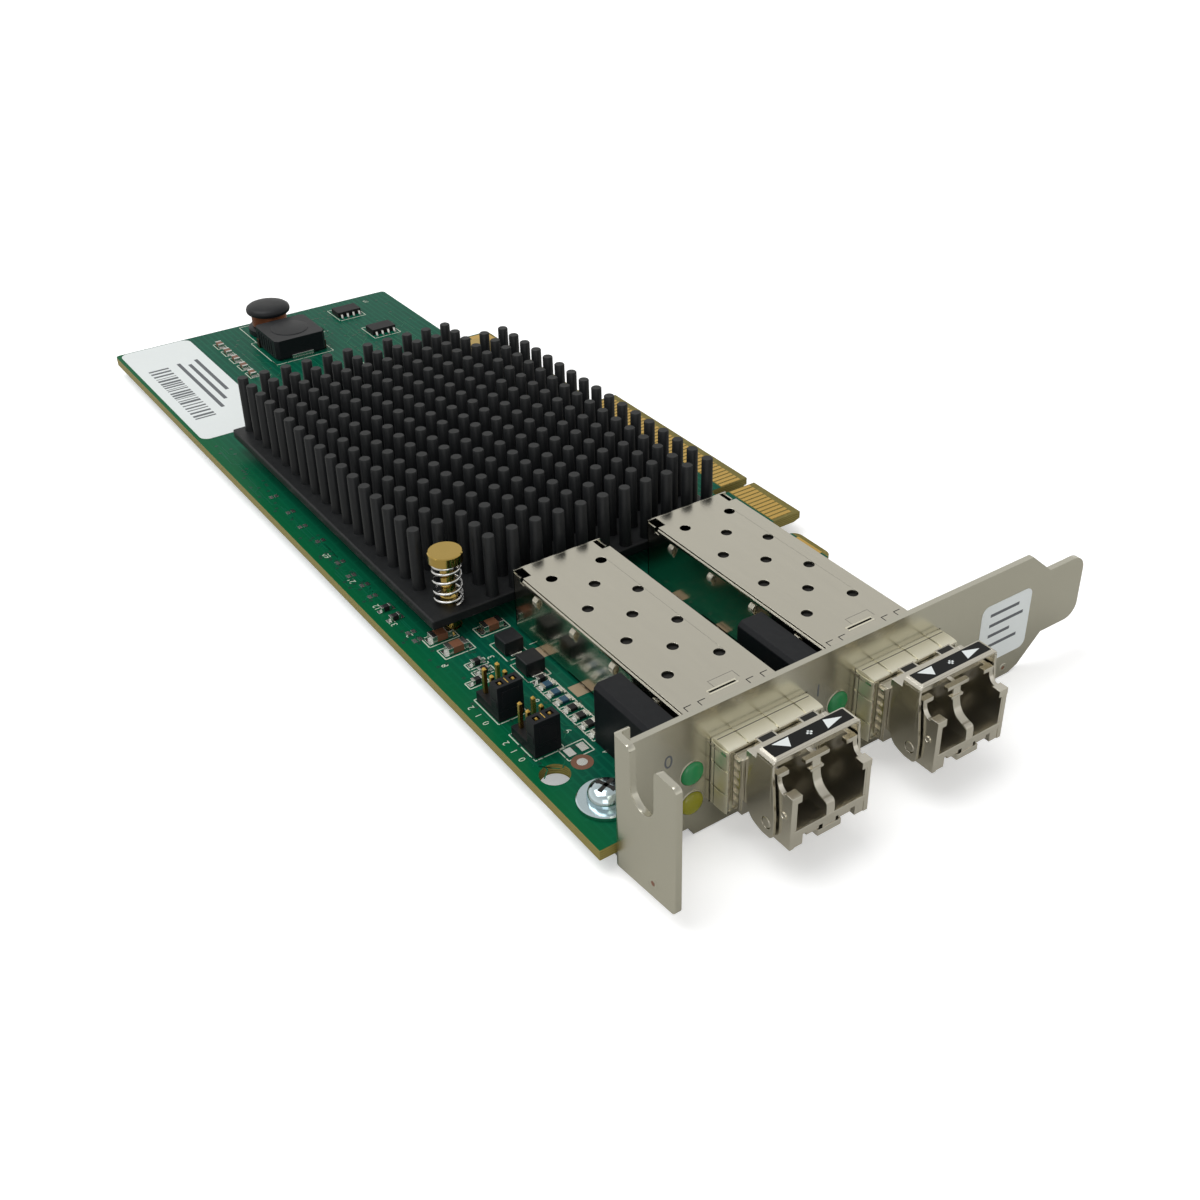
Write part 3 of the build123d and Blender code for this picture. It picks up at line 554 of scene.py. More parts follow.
def finish_values():
    """The colour and roughness of each finish, and what else sets it off from a plain one."""
    tint = colours()
    metal = {"metallic": 1.0, "scale": 500}
    return {
        "nickel_sheet": (tint.nickel, 0.17, dict(metal, stretch=(1, 14, 14), spread=0.1, bump=0.05,
                                                 dust=0.05)),
        # Painted highlight: a paler copy of the nickel sheet that stands for the bright light on the gasket tops and
        # the ridges by the latch slit.
        "gasket_sheet": ((0.9, 0.87, 0.73), 0.42, dict(metal, scale=160, spread=0.2, bump=0.08)),
        "casting": (tint.casting, 0.22, dict(metal, spread=0.16, bump=0.06)),
        "bail_sheet": (tint.casting, 0.2, dict(metal, scale=420, spread=0.14, bump=0.05)),
        "bracket_sheet": (tint.bracket, 0.25, dict(metal, spread=0.08, bump=0.03, dust=0.02)),
        "zinc": (tint.zinc, 0.16, dict(metal, scale=300, bump=0.06)),
        "spring_steel": (tint.chrome, 0.14, dict(metallic=1.0, stretch=(1, 1, 6))),
        "brass": (tint.brass, 0.14, dict(metal, stretch=(1, 1, 12), bump=0.03)),
        "copper": ((0.12, 0.045, 0.022), 0.32, dict(metal, bump=0.05)),
        "gold_plate": (tint.gold, 0.26, dict(metal, scale=350, spread=0.2)),
        "solder": ((0.62, 0.63, 0.6), 0.26, metal),
        "black_metal": (tint.black_metal, 0.42, dict(spread=0.35, bump=0.1, dust=0.03,
                                                     gloss=0.22)),
        "black_plastic": (tint.black_plastic, 0.38, dict(scale=800, spread=0.3, bump=0.14, dust=0.02,
                                                         gloss=0.16)),
        "chip_black": ((0.012, 0.012, 0.013), 0.5, dict(scale=1200, spread=0.3, bump=0.12, dust=0.03,
                                                         gloss=0.2)),
        "chip_blue": ((0.01, 0.06, 0.11), 0.35, dict(spread=0.3, bump=0.1)),
        "ferrite": ((0.01, 0.011, 0.013), 0.4, dict(scale=500, spread=0.5, bump=0.3, dust=0.03,
                                                      gloss=0.2)),
        "ceramic": (tint.ceramic, 0.45, dict(scale=800, spread=0.3, bump=0.15)),
        "pad_grey": ((0.3, 0.3, 0.31), 0.85, dict(scale=600, bump=0.3)),
        "sleeve": ((0.6, 0.58, 0.54), 0.22, dict(scale=600, coat=0.3)),
        "lens_green": (tint.lens_green, 0.1, dict(scale=300, spread=0.5)),
        "lens_yellow": (tint.lens_yellow, 0.1, dict(scale=300, spread=0.5)),
        "print_white": (tint.print_white, 0.6, dict(scale=1500, spread=0.35, gloss=0.2)),
        "paper": (tint.paper, 0.55, dict(spread=0.06, bump=0.06)),
        "ink": ((0.11, 0.12, 0.13), 0.6, dict(scale=1500, spread=0.4)),
        "sticker_black": ((0.007, 0.007, 0.007), 0.35, dict(spread=0.3, bump=0.06, gloss=0.15)),
        "trace_green": ((0.003, 0.105, 0.052), 0.3, dict(scale=700, spread=0.25, gloss=0.1)),
        "via_ring": ((0.006, 0.06, 0.033), 0.35, dict(spread=0.4, gloss=0.2)),
        "tan_land": ((0.33, 0.25, 0.16), 0.55, dict(spread=0.3)),
        # Painted shade: a near-black finish put in slits, seams, recesses and the cage's inside, where there is only
        # shade.
        "painted_gap_shade": ((0.012, 0.011, 0.009), 0.8, dict(scale=600)),
        "solder_mask": (tint.mask, 0.26, dict(scale=160, spread=0.5, bump=0.03, gloss=0.05)),
    }


def finish(name):
    """The material of a finish, which is made when it is first asked for."""
    title = f"{name}_finish"
    if title in bpy.data.materials:
        return bpy.data.materials[title]
    tint, roughness, others = finish_values()[name]
    material = bpy.data.materials.new(title)
    material.use_nodes = True
    grain = make_surface(material.node_tree, tint, roughness, **others)
    if name == "solder_mask":
        add_board_layers(material.node_tree, grain)
    return material


def make_surface(tree, tint, roughness, metallic=0.0, coat=0.0, scale=900, stretch=(1, 1, 1),
                 spread=0.15, bump=0.0, dust=0.0, gloss=0.5):
    """Grain, uneven gloss and a little dust; gives back the grained colour."""
    surface = tree.nodes["Principled BSDF"].inputs
    for key, value in (("Metallic", metallic), ("Coat Weight", coat), ("Coat Roughness", 0.08),
                       ("Specular IOR Level", gloss)):
        surface[key].default_value = value
    grain = add_node(tree, "Group", {"Colour": (*tint, 1), "Colour Spread": spread, "Roughness": roughness,
                                     "Roughness Spread": 0.3, "Scale": scale, "Stretch": stretch},
                     node_tree=shared_group("fine grain", fill_grain))
    shade = grain["Colour"]
    if dust:
        shade = add_node(tree, "Group", {"Colour": shade, "Amount": dust},
                         node_tree=shared_group("settled dust", fill_dust))["Colour"]
    tree.links.new(shade, surface["Base Color"])
    tree.links.new(grain["Roughness"], surface["Roughness"])
    if bump:
        raised = add_node(tree, "Bump", {"Strength": bump, "Distance": 0.0001, "Height": grain["Height"]})
        tree.links.new(raised[0], surface["Normal"])
    return grain["Colour"]


def add_board_layers(tree, mask):
    """Faint tracks in the mask, painted light that makes the mask paler towards the plain edge, and bare laminate on
    the sides and the tongue.
    """
    place = object_place(tree)
    across = add_node(tree, "SeparateXYZ", {0: place})["Y"]
    tracks = add_node(tree, "TexBrick",
                      {"Vector": place, "Color1": (0, 0, 0, 1), "Color2": (0.25, 0.25, 0.25, 1),
                       "Mortar": (1, 1, 1, 1), "Scale": 260.0, "Mortar Size": 0.045, "Brick Width": 1.7,
                       "Row Height": 0.28}, offset=0.37, squash=1.0)["Color"]
    tracked = blended(tree, tracks, mask, (0.002, 0.026, 0.013, 1), "ADD")
    # Painted light: the mask grows paler over the 7 mm next to the plain edge, where light falls.
    edge = add_node(tree, "MapRange", {"Value": across, "From Min": -TIP_Y / 1000, "To Min": 0.85,
                                       "From Max": (7.0 - TIP_Y) / 1000, "To Max": 0.0})[0]
    edge_painted_light = blended(tree, edge, tracked, (*colours().mask_painted_light, 1))
    tongue = maths(tree, "GREATER_THAN", across, (63.5 - TIP_Y) / 1000)
    side = maths(tree, "LESS_THAN", maths(tree, "ABSOLUTE", surface_lean(tree)), 0.98)
    layers = add_node(tree, "TexWave", {"Vector": place, "Scale": 900.0, "Distortion": 3.0},
                      bands_direction="Z")["Fac"]
    laminate = product(tree, colours().laminate, layers)
    ply = blended(tree, 0.6, laminate, (*colours().laminate, 1))
    shown = blended(tree, maths(tree, "MAXIMUM", tongue, side), edge_painted_light, ply)
    tree.links.new(shown, tree.nodes["Principled BSDF"].inputs["Base Color"])


# Stage


def make_world(scene):
    """Soft light from all round, with a backdrop that metal and the camera see as pale."""
    world = bpy.data.worlds.new("studio")
    scene.world = world
    world.use_nodes = True
    tree = world.node_tree
    light = tree.nodes["Background"]
    light.inputs["Color"].default_value = (1.0, 1.0, 1.0, 1)
    light.inputs["Strength"].default_value = 0.5
    above = add_node(tree, "SeparateXYZ", {0: add_node(tree, "TexCoord", {})["Generated"]})["Z"]
    dimmer = add_node(tree, "MapRange", {"Value": above, "From Min": 0.0, "From Max": 0.9, "To Min": 0.98,
                                         "To Max": 0.55})[0]
    backdrop = add_node(tree, "Background", {"Color": (1.0, 0.99, 0.96, 1), "Strength": dimmer})[0]
    mixed = add_node(tree, "MixShader", {0: pale_rays(tree), 1: light.outputs[0], 2: backdrop})[0]
    tree.links.new(mixed, tree.nodes["World Output"].inputs["Surface"])


def pale_rays(tree):
    """One for camera, glossy and transmission rays, and nought for the light itself."""
    path = add_node(tree, "LightPath", {})
    both = maths(tree, "MAXIMUM", path["Is Camera Ray"], path["Is Glossy Ray"])
    return maths(tree, "MAXIMUM", both, path["Is Transmission Ray"])


def make_floor():
    """A wide pale floor just under the lowest edge, which keeps the card's shadow."""
    reach = 1.2
    level = float(cad_box[0][2]) - 0.0001
    pale = (*colours().floor, 1)
    material = bpy.data.materials.new("floor")
    material.use_nodes = True
    tree = material.node_tree
    tree.nodes.remove(tree.nodes["Principled BSDF"])
    path = add_node(tree, "LightPath", {})
    shown = blended(tree, path["Is Glossy Ray"], pale, (0.54, 0.53, 0.49, 1))
    matt = add_node(tree, "BsdfDiffuse", {"Color": shown})[0]
    strength = maths(tree, "MULTIPLY", path["Is Camera Ray"], 0.42)
    lift = add_node(tree, "Emission", {"Color": pale, "Strength": strength})[0]
    both = add_node(tree, "AddShader", {0: matt, 1: lift})[0]
    tree.links.new(both, tree.nodes["Material Output"].inputs["Surface"])
    bm = bmesh.new()
    bm.faces.new([bm.verts.new((x, y, level)) for x, y in square(0, 0, reach)])
    floor = object_of(bm, "floor", [material])
    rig.stage(floor)


def make_lamp(name, place, aim, size, power):
    lamp = bpy.data.lights.new(name, "AREA")
    lamp.shape = "RECTANGLE"
    lamp.size, lamp.size_y = size
    lamp.energy = power
    holder = bpy.data.objects.new(name, lamp)
    holder.location = place
    holder.rotation_euler = (Vector(aim) - Vector(place)).to_track_quat("-Z", "Y").to_euler()
    bpy.context.scene.collection.objects.link(holder)


def make_camera(scene):
    """A near view from above the bracket's front corner, with the lens shifted to the left and down."""
    lens = bpy.data.cameras.new("camera")
    lens.lens = 43.2285
    lens.sensor_width = 36.0
    lens.shift_x = -0.062736
    lens.shift_y = -0.026132
    lens.clip_start = 0.005
    lens.clip_end = 100.0
    holder = bpy.data.objects.new("camera", lens)
    holder.location = (0.160243, -0.134826, 0.117403)
    holder.rotation_euler = Euler([math.radians(a) for a in (57.144978, -0.323451, 53.520438)])
    scene.collection.objects.link(holder)
    scene.camera = holder


# Pieces


def dress_nodes():
    """Gives the CAD nodes that stay in view their finish, and a radius in millimetres to their edges."""
    table = {
        "board": ("solder_mask", 0), "edge_contacts_top": ("gold_plate", 0),
        "edge_contacts_bottom": ("gold_plate", 0), "tab_lands": ("gold_plate", 0),
        "controller_chip": ("chip_black", 0.08), "thermal_pad": ("pad_grey", 0),
        "bracket": ("bracket_sheet", 0.1), "rear_chips": ("chip_black", 0.06),
    }
    for number in PORTS:
        table[f"header_body_{number}"] = ("black_plastic", 0.05)
        table[f"cage_connector_{number}"] = ("black_plastic", 0.05)
        table[f"module_edge_{number}"] = ("solder_mask", 0)
        table[f"light_block_{number}"] = ("black_plastic", 0.12)
    for name, (title, radius) in table.items():
        shown = frame["nodes"][name]
        shown.data.materials.clear()
        shown.data.materials.append(finish(title))
        if radius:
            weld = shown.modifiers.new("joined corners", "WELD")
            weld.merge_threshold = 1e-6
            round_edges(shown, radius)


def make_heatsink():
    """A cast base with tapered round pins, which leave two corners free for the push pins."""
    bm = bmesh.new()
    box(bm, 50.2, 120.9, 4.0, 54.8, 2.5, BASE_TOP_Z)
    piece("heatsink_base", bm, ["black_metal"], "black_anodised", rounding=0.3, replaces=["heatsink"])
    bm = bmesh.new()
    radius = mm(sizes().pin_diameter) / 2
    pitch_x = 3.75
    pitch_y = 3.8
    columns = sizes().pin_columns
    rows = sizes().pin_rows
    profile = [(radius * 1.12, 4.0), (radius * 1.02, 4.7), (radius * 0.97, 13.6), (radius * 0.86, 13.72)]
    for i in range(columns):
        for j in range(rows):
            front_corner = i >= columns - 2 and j <= 1
            rear_corner = i <= 1 and j >= rows - 2
            if not front_corner and not rear_corner:
                turned(bm, (52.1 + pitch_x * i, 6.6 + pitch_y * j, 0), profile, sides=16)
    piece("heatsink_pins", bm, ["black_metal"], "black_anodised", sharp=50)


def make_push_pins():
    """Brass push pins with sprung steel coils under their heads."""
    thin = mm(sizes().spring_wire) / 2
    coil_radius = 1.97
    steps_a_turn = 28
    for end, x, y, head_z, share_of_turns in (("front", 117.5, 8.5, 12.3, 1.0),
                                              ("rear", 53.6, 50.3, 9.0, 0.6)):
        under_head = head_z - 1.6
        bm = bmesh.new()
        turned(bm, (x, y, 0), [(0.8, -3.37), (1.7, -1.65), (1.3, -1.57), (1.3, 5.2), (1.05, 5.5),
                               (1.05, under_head - 0.3), (1.45, under_head), (2.3, under_head),
                               (2.465, head_z - 1.45), (2.465, head_z - 0.14), (2.33, head_z),
                               (0.05, head_z)], sides=40)
        piece(f"brass_pin_{end}", bm, ["brass"], "brass", sharp=30, replaces=[f"push_pin_{end}"])
        bm = bmesh.new()
        low = BASE_TOP_Z + thin
        rise = under_head - thin - low
        turns = sizes().spring_turns * share_of_turns
        steps = int(turns * steps_a_turn)
        points = []
        for k in range(steps + 1):
            share = k / steps
            eased = share - math.sin(2 * math.pi * share) * 0.07
            turn = 2 * math.pi * turns * share
            points.append((x + coil_radius * math.cos(turn), y + coil_radius * math.sin(turn),
                           low + rise * eased))
        wire(bm, points, thin)
        piece(f"coil_spring_{end}", bm, ["spring_steel"], "spring_steel", sharp=60,
              replaces=[f"push_pin_spring_{end}"])


def cage(port):
    """A folded sheet cage with vents, side tongues, latch slit and board tails."""
    sheet = mm(sizes().cage_sheet)
    half = 7.15
    notch_x = 126.45
    notch_y = half - 1.3
    rear_x = 123.8
    bm = bmesh.new()
    top = [(rear_x + 0.25, -notch_y), (notch_x, -notch_y), (notch_x, -half), (CAGE_FRONT_X, -half),
           (CAGE_FRONT_X, half), (notch_x, half), (notch_x, notch_y), (rear_x + 0.25, notch_y)]
    vents = [circle(128.8 + 4.45 * k, y, mm(sizes().vent_diameter), 20)
             for k in range(7) for y in ((-4.05, 4.05) if k % 2 == 0 else (0.0,))]
    latch_slit = rectangle(161.12, 161.58, -2.05, 2.05)
    cut_sheet(bm, top, vents + [latch_slit], "xy", CAGE_TOP_Z - sheet, CAGE_TOP_Z)
    wall = [(rear_x, 0.45), (CAGE_FRONT_X, 0.45), (CAGE_FRONT_X, 9.7), (126.6, 9.7), (126.6, 8.6),
            (125.6, 8.6), (125.6, 9.4), (rear_x, 9.4)]
    for y in (-half, half - sheet):
        prism(bm, wall, "xz", y, y + sheet)
        for x in CAGE_TAILS_X:
            box(bm, x - 0.3, x + 0.3, y, y + sheet, -2.17, 0.45)
    box(bm, rear_x, rear_x + 0.25, -half, half, 0.45, CAGE_TOP_Z)
    box(bm, 137.0, CAGE_FRONT_X, -half, half, 0.45, 0.45 + sheet)
    for side in (-1, 1):
        lip = [(side * (half + out), z) for out, z in ((0.02, 9.56), (0.2, 9.4), (0.24, 9.05))]
        ribbon(bm, lip, 0.08, "yz", 126.6, 171.5)
        bulge = ((0, 8.5), (0.42, 8.0), (0.38, 7.4), (0, 6.7))
        tongue = curved([(side * (half + out), z) for out, z in bulge], 4)
        for x in (129.9, 139.05, 148.2, 157.3):
            ribbon(bm, tongue, 0.14, "yz", x - 0.5, x + 0.5)
    piece("port_cage", bm, ["nickel_sheet"], "nickel_sheet", port=port,
          rounding=mm(sizes().edge_rounding), replaces=["cage"])
    bm = bmesh.new()
    # Painted shade: thin dark strips on the cage top stand for the shade in the cut lines of the tabs and round the
    # slit.
    for y in (-6.4, -4.3, 3.2, 5.4):
        block(bm, 162.65, y, 0.75, 0.06, 9.79, 9.812)
        box(bm, 161.9, 162.02, y, y + 1.1, 9.79, 9.812)
    # Painted highlight: the ridges beside the latch slit take the paler sheet so that they show as a bright line.
    for x in (160.98, 161.58):
        ridge = [(x, 9.78), (x + 0.03, 9.9), (x + 0.19, 9.81), (x + 0.2, 9.78)]
        prism(bm, ridge, "xz", -2.2, 2.2, 1)
    for x0, x1, y0, y1 in ((159.5, 159.55, -0.9, 2.9), (159.5, 161.0, 2.9, 2.95),
                           (159.5, 161.0, -0.95, -0.9)):
        box(bm, x0, x1, y0, y1, 9.79, 9.803)
    piece("cage_scores_painted_light", bm, ["painted_gap_shade", "gasket_sheet"], "nickel_sheet", port=port)


def gasket(port):
    """The collar of spring fingers that fills the bracket's mouth round a cage."""
    half = 7.3
    wall = 7.22
    bm = bmesh.new()
    box(bm, 167.65, 168.6, -half, half, CAGE_TOP_Z, 9.95)
    box(bm, 168.55, 171.45, -7.18, 7.18, 0.5, 9.93)
    edges = [-half, -4.33, 0.28, 4.58, half]
    rise = curved([(168.4, 9.92), (169.2, 10.04), (170.4, 10.06), (171.4, 9.97), (CAGE_FRONT_X, 9.84)], 4)
    for left, right in zip(edges, edges[1:]):
        ribbon(bm, rise, 0.14, "xz", left + 0.12, right - 0.12)
    for side in (-1, 1):
        block(bm, 168.125, side * wall, 0.475, 0.08, 0.3, CAGE_TOP_Z)
        swell = curved([(x, side * (wall + out)) for x, out in
                        ((168.4, 0), (169.2, 0.1), (170.4, 0.12), (171.4, 0.04), (CAGE_FRONT_X, -0.06))], 4)
        for low, high in ((0.4, 3.15), (3.45, 6.75), (7.05, 9.7)):
            ribbon(bm, swell, 0.14, "xy", low, high)
    # The gasket takes the paler sheet, a painted highlight for the light on its tops.
    piece("gasket", bm, ["gasket_sheet"], "nickel_sheet", port=port, sharp=25,
          rounding=0.04, replaces=["cage_gasket"])
    bm = bmesh.new()
    # Painted shade: dark strips along the seam stand for the shade in its gap.
    box(bm, 169.25, 169.36, -7.0, 7.0, 10.09, 10.125)
    for y in (-7.38, 7.38):
        block(bm, 169.305, y, 0.055, 0.03, 0.5, 9.6)
    piece("gasket_seam_painted_shade", bm, ["painted_gap_shade"], "nickel_sheet", port=port)


def nose_wall_outline():
    """Side plate of the nose, with its foot, front edge, curved neck and hook."""
    neck = curved([(180.25, 8.85), (179.75, 8.92), (179.35, 9.25), (179.05, 9.8), (178.95, 10.45)], 4)
    return [(173.4, 3.0), (176.4, 3.0), (176.4, 1.5), (181.66, 1.5), (181.66, 9.05)] + neck + [
        (178.55, 10.9), (173.4, 10.9)]


def divider_line():
    """The bent strip between the two plug openings, from the roof's catch down to the floor."""
    return curved([(178.55, 10.8), (178.62, 9.7), (178.72, 8.6), (178.95, 7.5), (179.55, 6.55),
                   (180.5, 6.02), (181.22, 5.85), (181.48, 5.4), (181.52, 4.6), (181.52, 3.9)])


def module(port):
    """A pluggable optical module: its body, ported nose, latch hooks and divider."""
    nose_half = 6.0
    bm = bmesh.new()
    # Painted shade: the body inside the cage is near-black, standing for the shade that shows through the vents.
    box(bm, 132.0, MODULE_FRONT_X, -6.6, 6.6, 1.0, 9.25, 1)
    # The collar's foot and roof, the nose's floor and roof, its rear lip, the catch and its tip,
    # the keel, its foot and the sill, each as far to one side as to the other.
    for x0, x1, reach, z0, z1 in (
            (MODULE_FRONT_X, 173.38, 6.3, 1.02, 3.93), (MODULE_FRONT_X, 173.38, 6.3, 9.02, 9.4),
            (173.42, 181.62, 5.97, 3.02, 3.93), (173.42, 177.0, 5.97, 10.05, 10.88),
            (173.44, 173.7, 5.95, 9.0, 10.5), (178.15, 178.9, 1.8, 10.4, 10.9),
            (178.35, 178.95, 1.0, 8.8, 9.15), (176.4, 181.6, 1.0, 1.7, 3.1),
            (178.1, 181.68, 1.8, 1.5, 2.4), (181.25, 181.69, 5.5, 3.62, 4.08)):
        box(bm, x0, x1, -reach, reach, z0, z1)
    web = [(171.25, 3.85), (181.3, 3.85)] + divider_line()[::-1] + [(173.4, 10.7), (171.2, 8.9)]
    prism(bm, web, "xz", -0.3, 0.3)
    ribbon(bm, divider_line(), 0.3, "xz", -0.62, 0.62)
    for side in (-1, 1):
        prism(bm, nose_wall_outline(), "xz", side * (nose_half - 0.65), side * nose_half)
        # The collar's wall and end ribs, the hooks, the cheek and its front edge, the foot and the runner.
        for x0, x1, near, far, z0, z1 in (
                (171.22, 173.36, 5.07, 6.32, 3.9, 9.05), (171.75, 172.0, 6.2, 6.58, 1.6, 9.3),
                (172.95, 173.2, 6.2, 6.58, 1.6, 9.3), (178.1, 178.98, 4.35, 6.03, 10.35, 10.95),
                (180.35, 181.7, 4.55, 6.03, 8.25, 9.25), (181.1, 181.62, 5.1, 5.96, 3.85, 8.35),
                (176.44, 181.58, 4.0, 5.96, 1.55, 3.1), (178.4, 181.5, 1.5, 3.4, 2.45, 3.1)):
            box(bm, x0, x1, side * near, side * far, z0, z1)
        for k in range(6):
            box(bm, 171.9, 173.05, side * 6.2, side * 6.58, 2.4 + 1.25 * k, 2.75 + 1.25 * k)
        boss = [(0.75, 0), (0.75, side * 0.55), (0.62, side * 0.65)]
        turned(bm, (HINGE_X, side * nose_half, HINGE_Z), boss, "xz", 28)
        dimple = [(0.52, 0), (0.52, side * 0.12), (0.3, side * 0.12), (0.26, side * 0.02)]
        turned(bm, (180.3, side * nose_half, 5.9), dimple, "xz", 20)
    piece("optical_module", bm, ["casting", "painted_gap_shade"], "die_cast", port=port,
          rounding=0.12, replaces=["module_housing"])
    bm = bmesh.new()
    for y in (-2.4, 3.95):
        block(bm, 172.8, y, 0.7, 1.3, 9.4, 10.62)
        # Painted shade: thin dark plates in the windows stand for the shade inside them.
        block(bm, 172.8, y, 0.5, 1.05, 10.62, 10.63, 1)
        block(bm, 173.54, y, 0.04, 0.95, 9.7, 10.4, 1)
    piece("module_windows", bm, ["bail_sheet", "painted_gap_shade"], "die_cast", port=port,
          rounding=0.06)
    bm = bmesh.new()
    for y in (-2.95, 2.95):
        turned(bm, (0, y, 6.2), [(1.25, 171.1), (1.25, 174.2), (1.1, 174.4), (0.62, 174.4), (0.62, 172.0)],
               "yz", 28)
    piece("sleeves", bm, ["sleeve"], "sleeve", port=port, replaces=["optical_sleeves"])


def bail(port):
    """The latch bail, a bent sheet loop with a black sticker and a release pattern."""
    body = f"bail_{port}"
    sheet = mm(sizes().bail_sheet)
    half = 6.65
    bm = bmesh.new()
    back = curved([(174.9, 9.0), (174.35, 6.7), (174.45, 4.9), (174.85, 3.3), (175.7, 2.3),
                   (177.4, 1.72)], 4)
    foot = curved([(178.8, 1.72), (179.25, 2.1), (179.4, 2.9), (179.4, 5.3)], 3)
    arm = [(175.95, 12.3), (175.85, 11.6)] + back + foot + [(178.65, 12.3)]
    for y in (-half, half - sheet):
        cut_sheet(bm, arm, [circle(HINGE_X, HINGE_Z, 1.6)], "xz", y, y + sheet)
    corner = [(-6.45, 12.28), (-6.4, 12.55), (-6.22, 12.75), (-5.95, 12.85)]
    loop = corner + [(-u, v) for u, v in reversed(corner)]
    ribbon(bm, loop, 0.42, "yz", 175.95, 178.65)
    wire(bm, [(178.62, u, v) for u, v in [(-6.45, 6.0)] + loop + [(6.45, 6.0)]], 0.23)
    piece("latch_bail", bm, ["bail_sheet"], "die_cast", body=body, port=port, sharp=30,
          rounding=mm(sizes().edge_rounding), replaces=["bail"])
    bm = bmesh.new()
    box(bm, 176.15, 178.25, -5.95, 5.95, 13.04, STICKER_TOP_Z)
    for outline in ([(176.4, -4.9), (176.4, -2.5), (177.9, -3.3)],
                    [(177.25, 4.9), (176.4, 2.7), (177.95, 2.2)],
                    rectangle(176.85, 177.6, -0.14, 0.14), rectangle(177.08, 177.36, -0.42, 0.42)):
        prism(bm, outline, "xy", 13.07, 13.09, 1)
    piece("bail_sticker", bm, ["sticker_black", "paper"], "die_cast", body=body, port=port)


def make_lenses():
    """Domed indicator lenses, each in a bright rim."""
    radius = mm(sizes().lens_diameter) / 2
    dome = [(radius * share, x) for share, x in
            ((1, 167.55), (1, 168.52), (0.97, 168.66), (0.88, 168.82), (0.7, 168.97), (0.45, 169.07),
             (0.2, 169.11))] + [(0.02, 169.11)]
    rim = [(radius + 0.24, 168.3), (radius + 0.24, 168.54), (radius + 0.12, 168.6), (radius, 168.56),
           (radius, 168.3)]
    for row, z, tint in (("lower", 1.35, "lens_yellow"), ("upper", 5.95, "lens_green")):
        bm = bmesh.new()
        for y in LENS_CENTRES_Y:
            turned(bm, (0, y, z), dome, "yz", 32)
            turned(bm, (0, y, z), rim, "yz", 32, 1)
        piece(f"domed_lenses_{row}", bm, [tint, "bracket_sheet"], tint, sharp=50,
              replaces=[f"lenses_{row}"])


def make_bracket_parts():
    """Pan head screws with washers, dimples, plain figures and the blank round-cornered label."""
    bm = bmesh.new()
    for y in SCREW_CENTRES_Y:
        turned(bm, (SCREW_X, y, 0), [(1.45, -2.43), (1.45, 0.7), (2.4, 0.72), (2.4, 1.25), (2.15, 1.95),
                                     (1.55, 2.42), (0.8, 2.6), (0.05, 2.6)], sides=36)
        # Painted shade: the cross recess is a dark strip that stands for the shade inside it.
        for turn in (math.radians(20), math.radians(110)):
            u = math.cos(turn)
            v = math.sin(turn)
            ribbon(bm, [(SCREW_X - 1.35 * u, y - 1.35 * v), (SCREW_X + 1.35 * u, y + 1.35 * v)], 0.56, "xy",
                   2.35, 2.615, 1)
    piece("bracket_screws_turned", bm, ["zinc", "painted_gap_shade"], "screw_steel", sharp=40,
          replaces=["bracket_screws"])
    bm = bmesh.new()
    for y in SCREW_CENTRES_Y:
        turned(bm, (SCREW_X, y, 0), [(1.5, 0.0), (3.62, 0.0), (3.7, 0.1), (3.7, 0.55), (3.55, 0.7),
                                     (1.5, 0.7)], sides=40)
    piece("bracket_washers_turned", bm, ["zinc"], "screw_steel", sharp=30, replaces=["bracket_washers"])
    bm = bmesh.new()
    turned(bm, (175.7, 1.7, 0.4), [(0.95, 0.02), (0.85, -0.05), (0.6, -0.05), (0.45, 0.01)], "xz")
    turned(bm, (175.7, 1.7, 0.4), [(0.34, 0.02), (0.34, -0.01), (0.02, -0.01)], "xz", 16, 1)
    tab = (BRACKET_FRONT_X, 66.7, -2.5)
    turned(bm, tab, [(0.75, -0.02), (0.68, 0.05), (0.5, 0.05), (0.38, -0.01)], "yz")
    turned(bm, tab, [(0.28, -0.02), (0.28, 0.01), (0.02, 0.01)], "yz", 16, 1)
    piece("bracket_dimples", bm, ["bracket_sheet", "ceramic"], "bracket_steel", sharp=50)
    bm = bmesh.new()
    for text, y in (("0", 9.1), ("1", 31.8)):
        figure(bm, text, 2.6, lambda co, y=y: (BRACKET_FRONT_X + 0.005 + co.z, y + co.x, 9.3 + co.y))
    piece("bracket_figures", bm, ["ink"], "bracket_steel")
    bm = bmesh.new()
    label_x = BRACKET_FRONT_X + 0.05
    prism(bm, rounded_rectangle(60.7, 70.4, -0.1, 9.7, 1.2), "yz", BRACKET_FRONT_X, label_x)
    for z, width in ((7.7, 5.6), (6.0, 6.6), (4.3, 4.2), (2.6, 5.8)):
        box(bm, label_x, label_x + 0.005, 62.4, 62.4 + width, z, z + 0.5, 1)
    piece("bracket_label", bm, ["paper", "ink"], "bracket_steel")


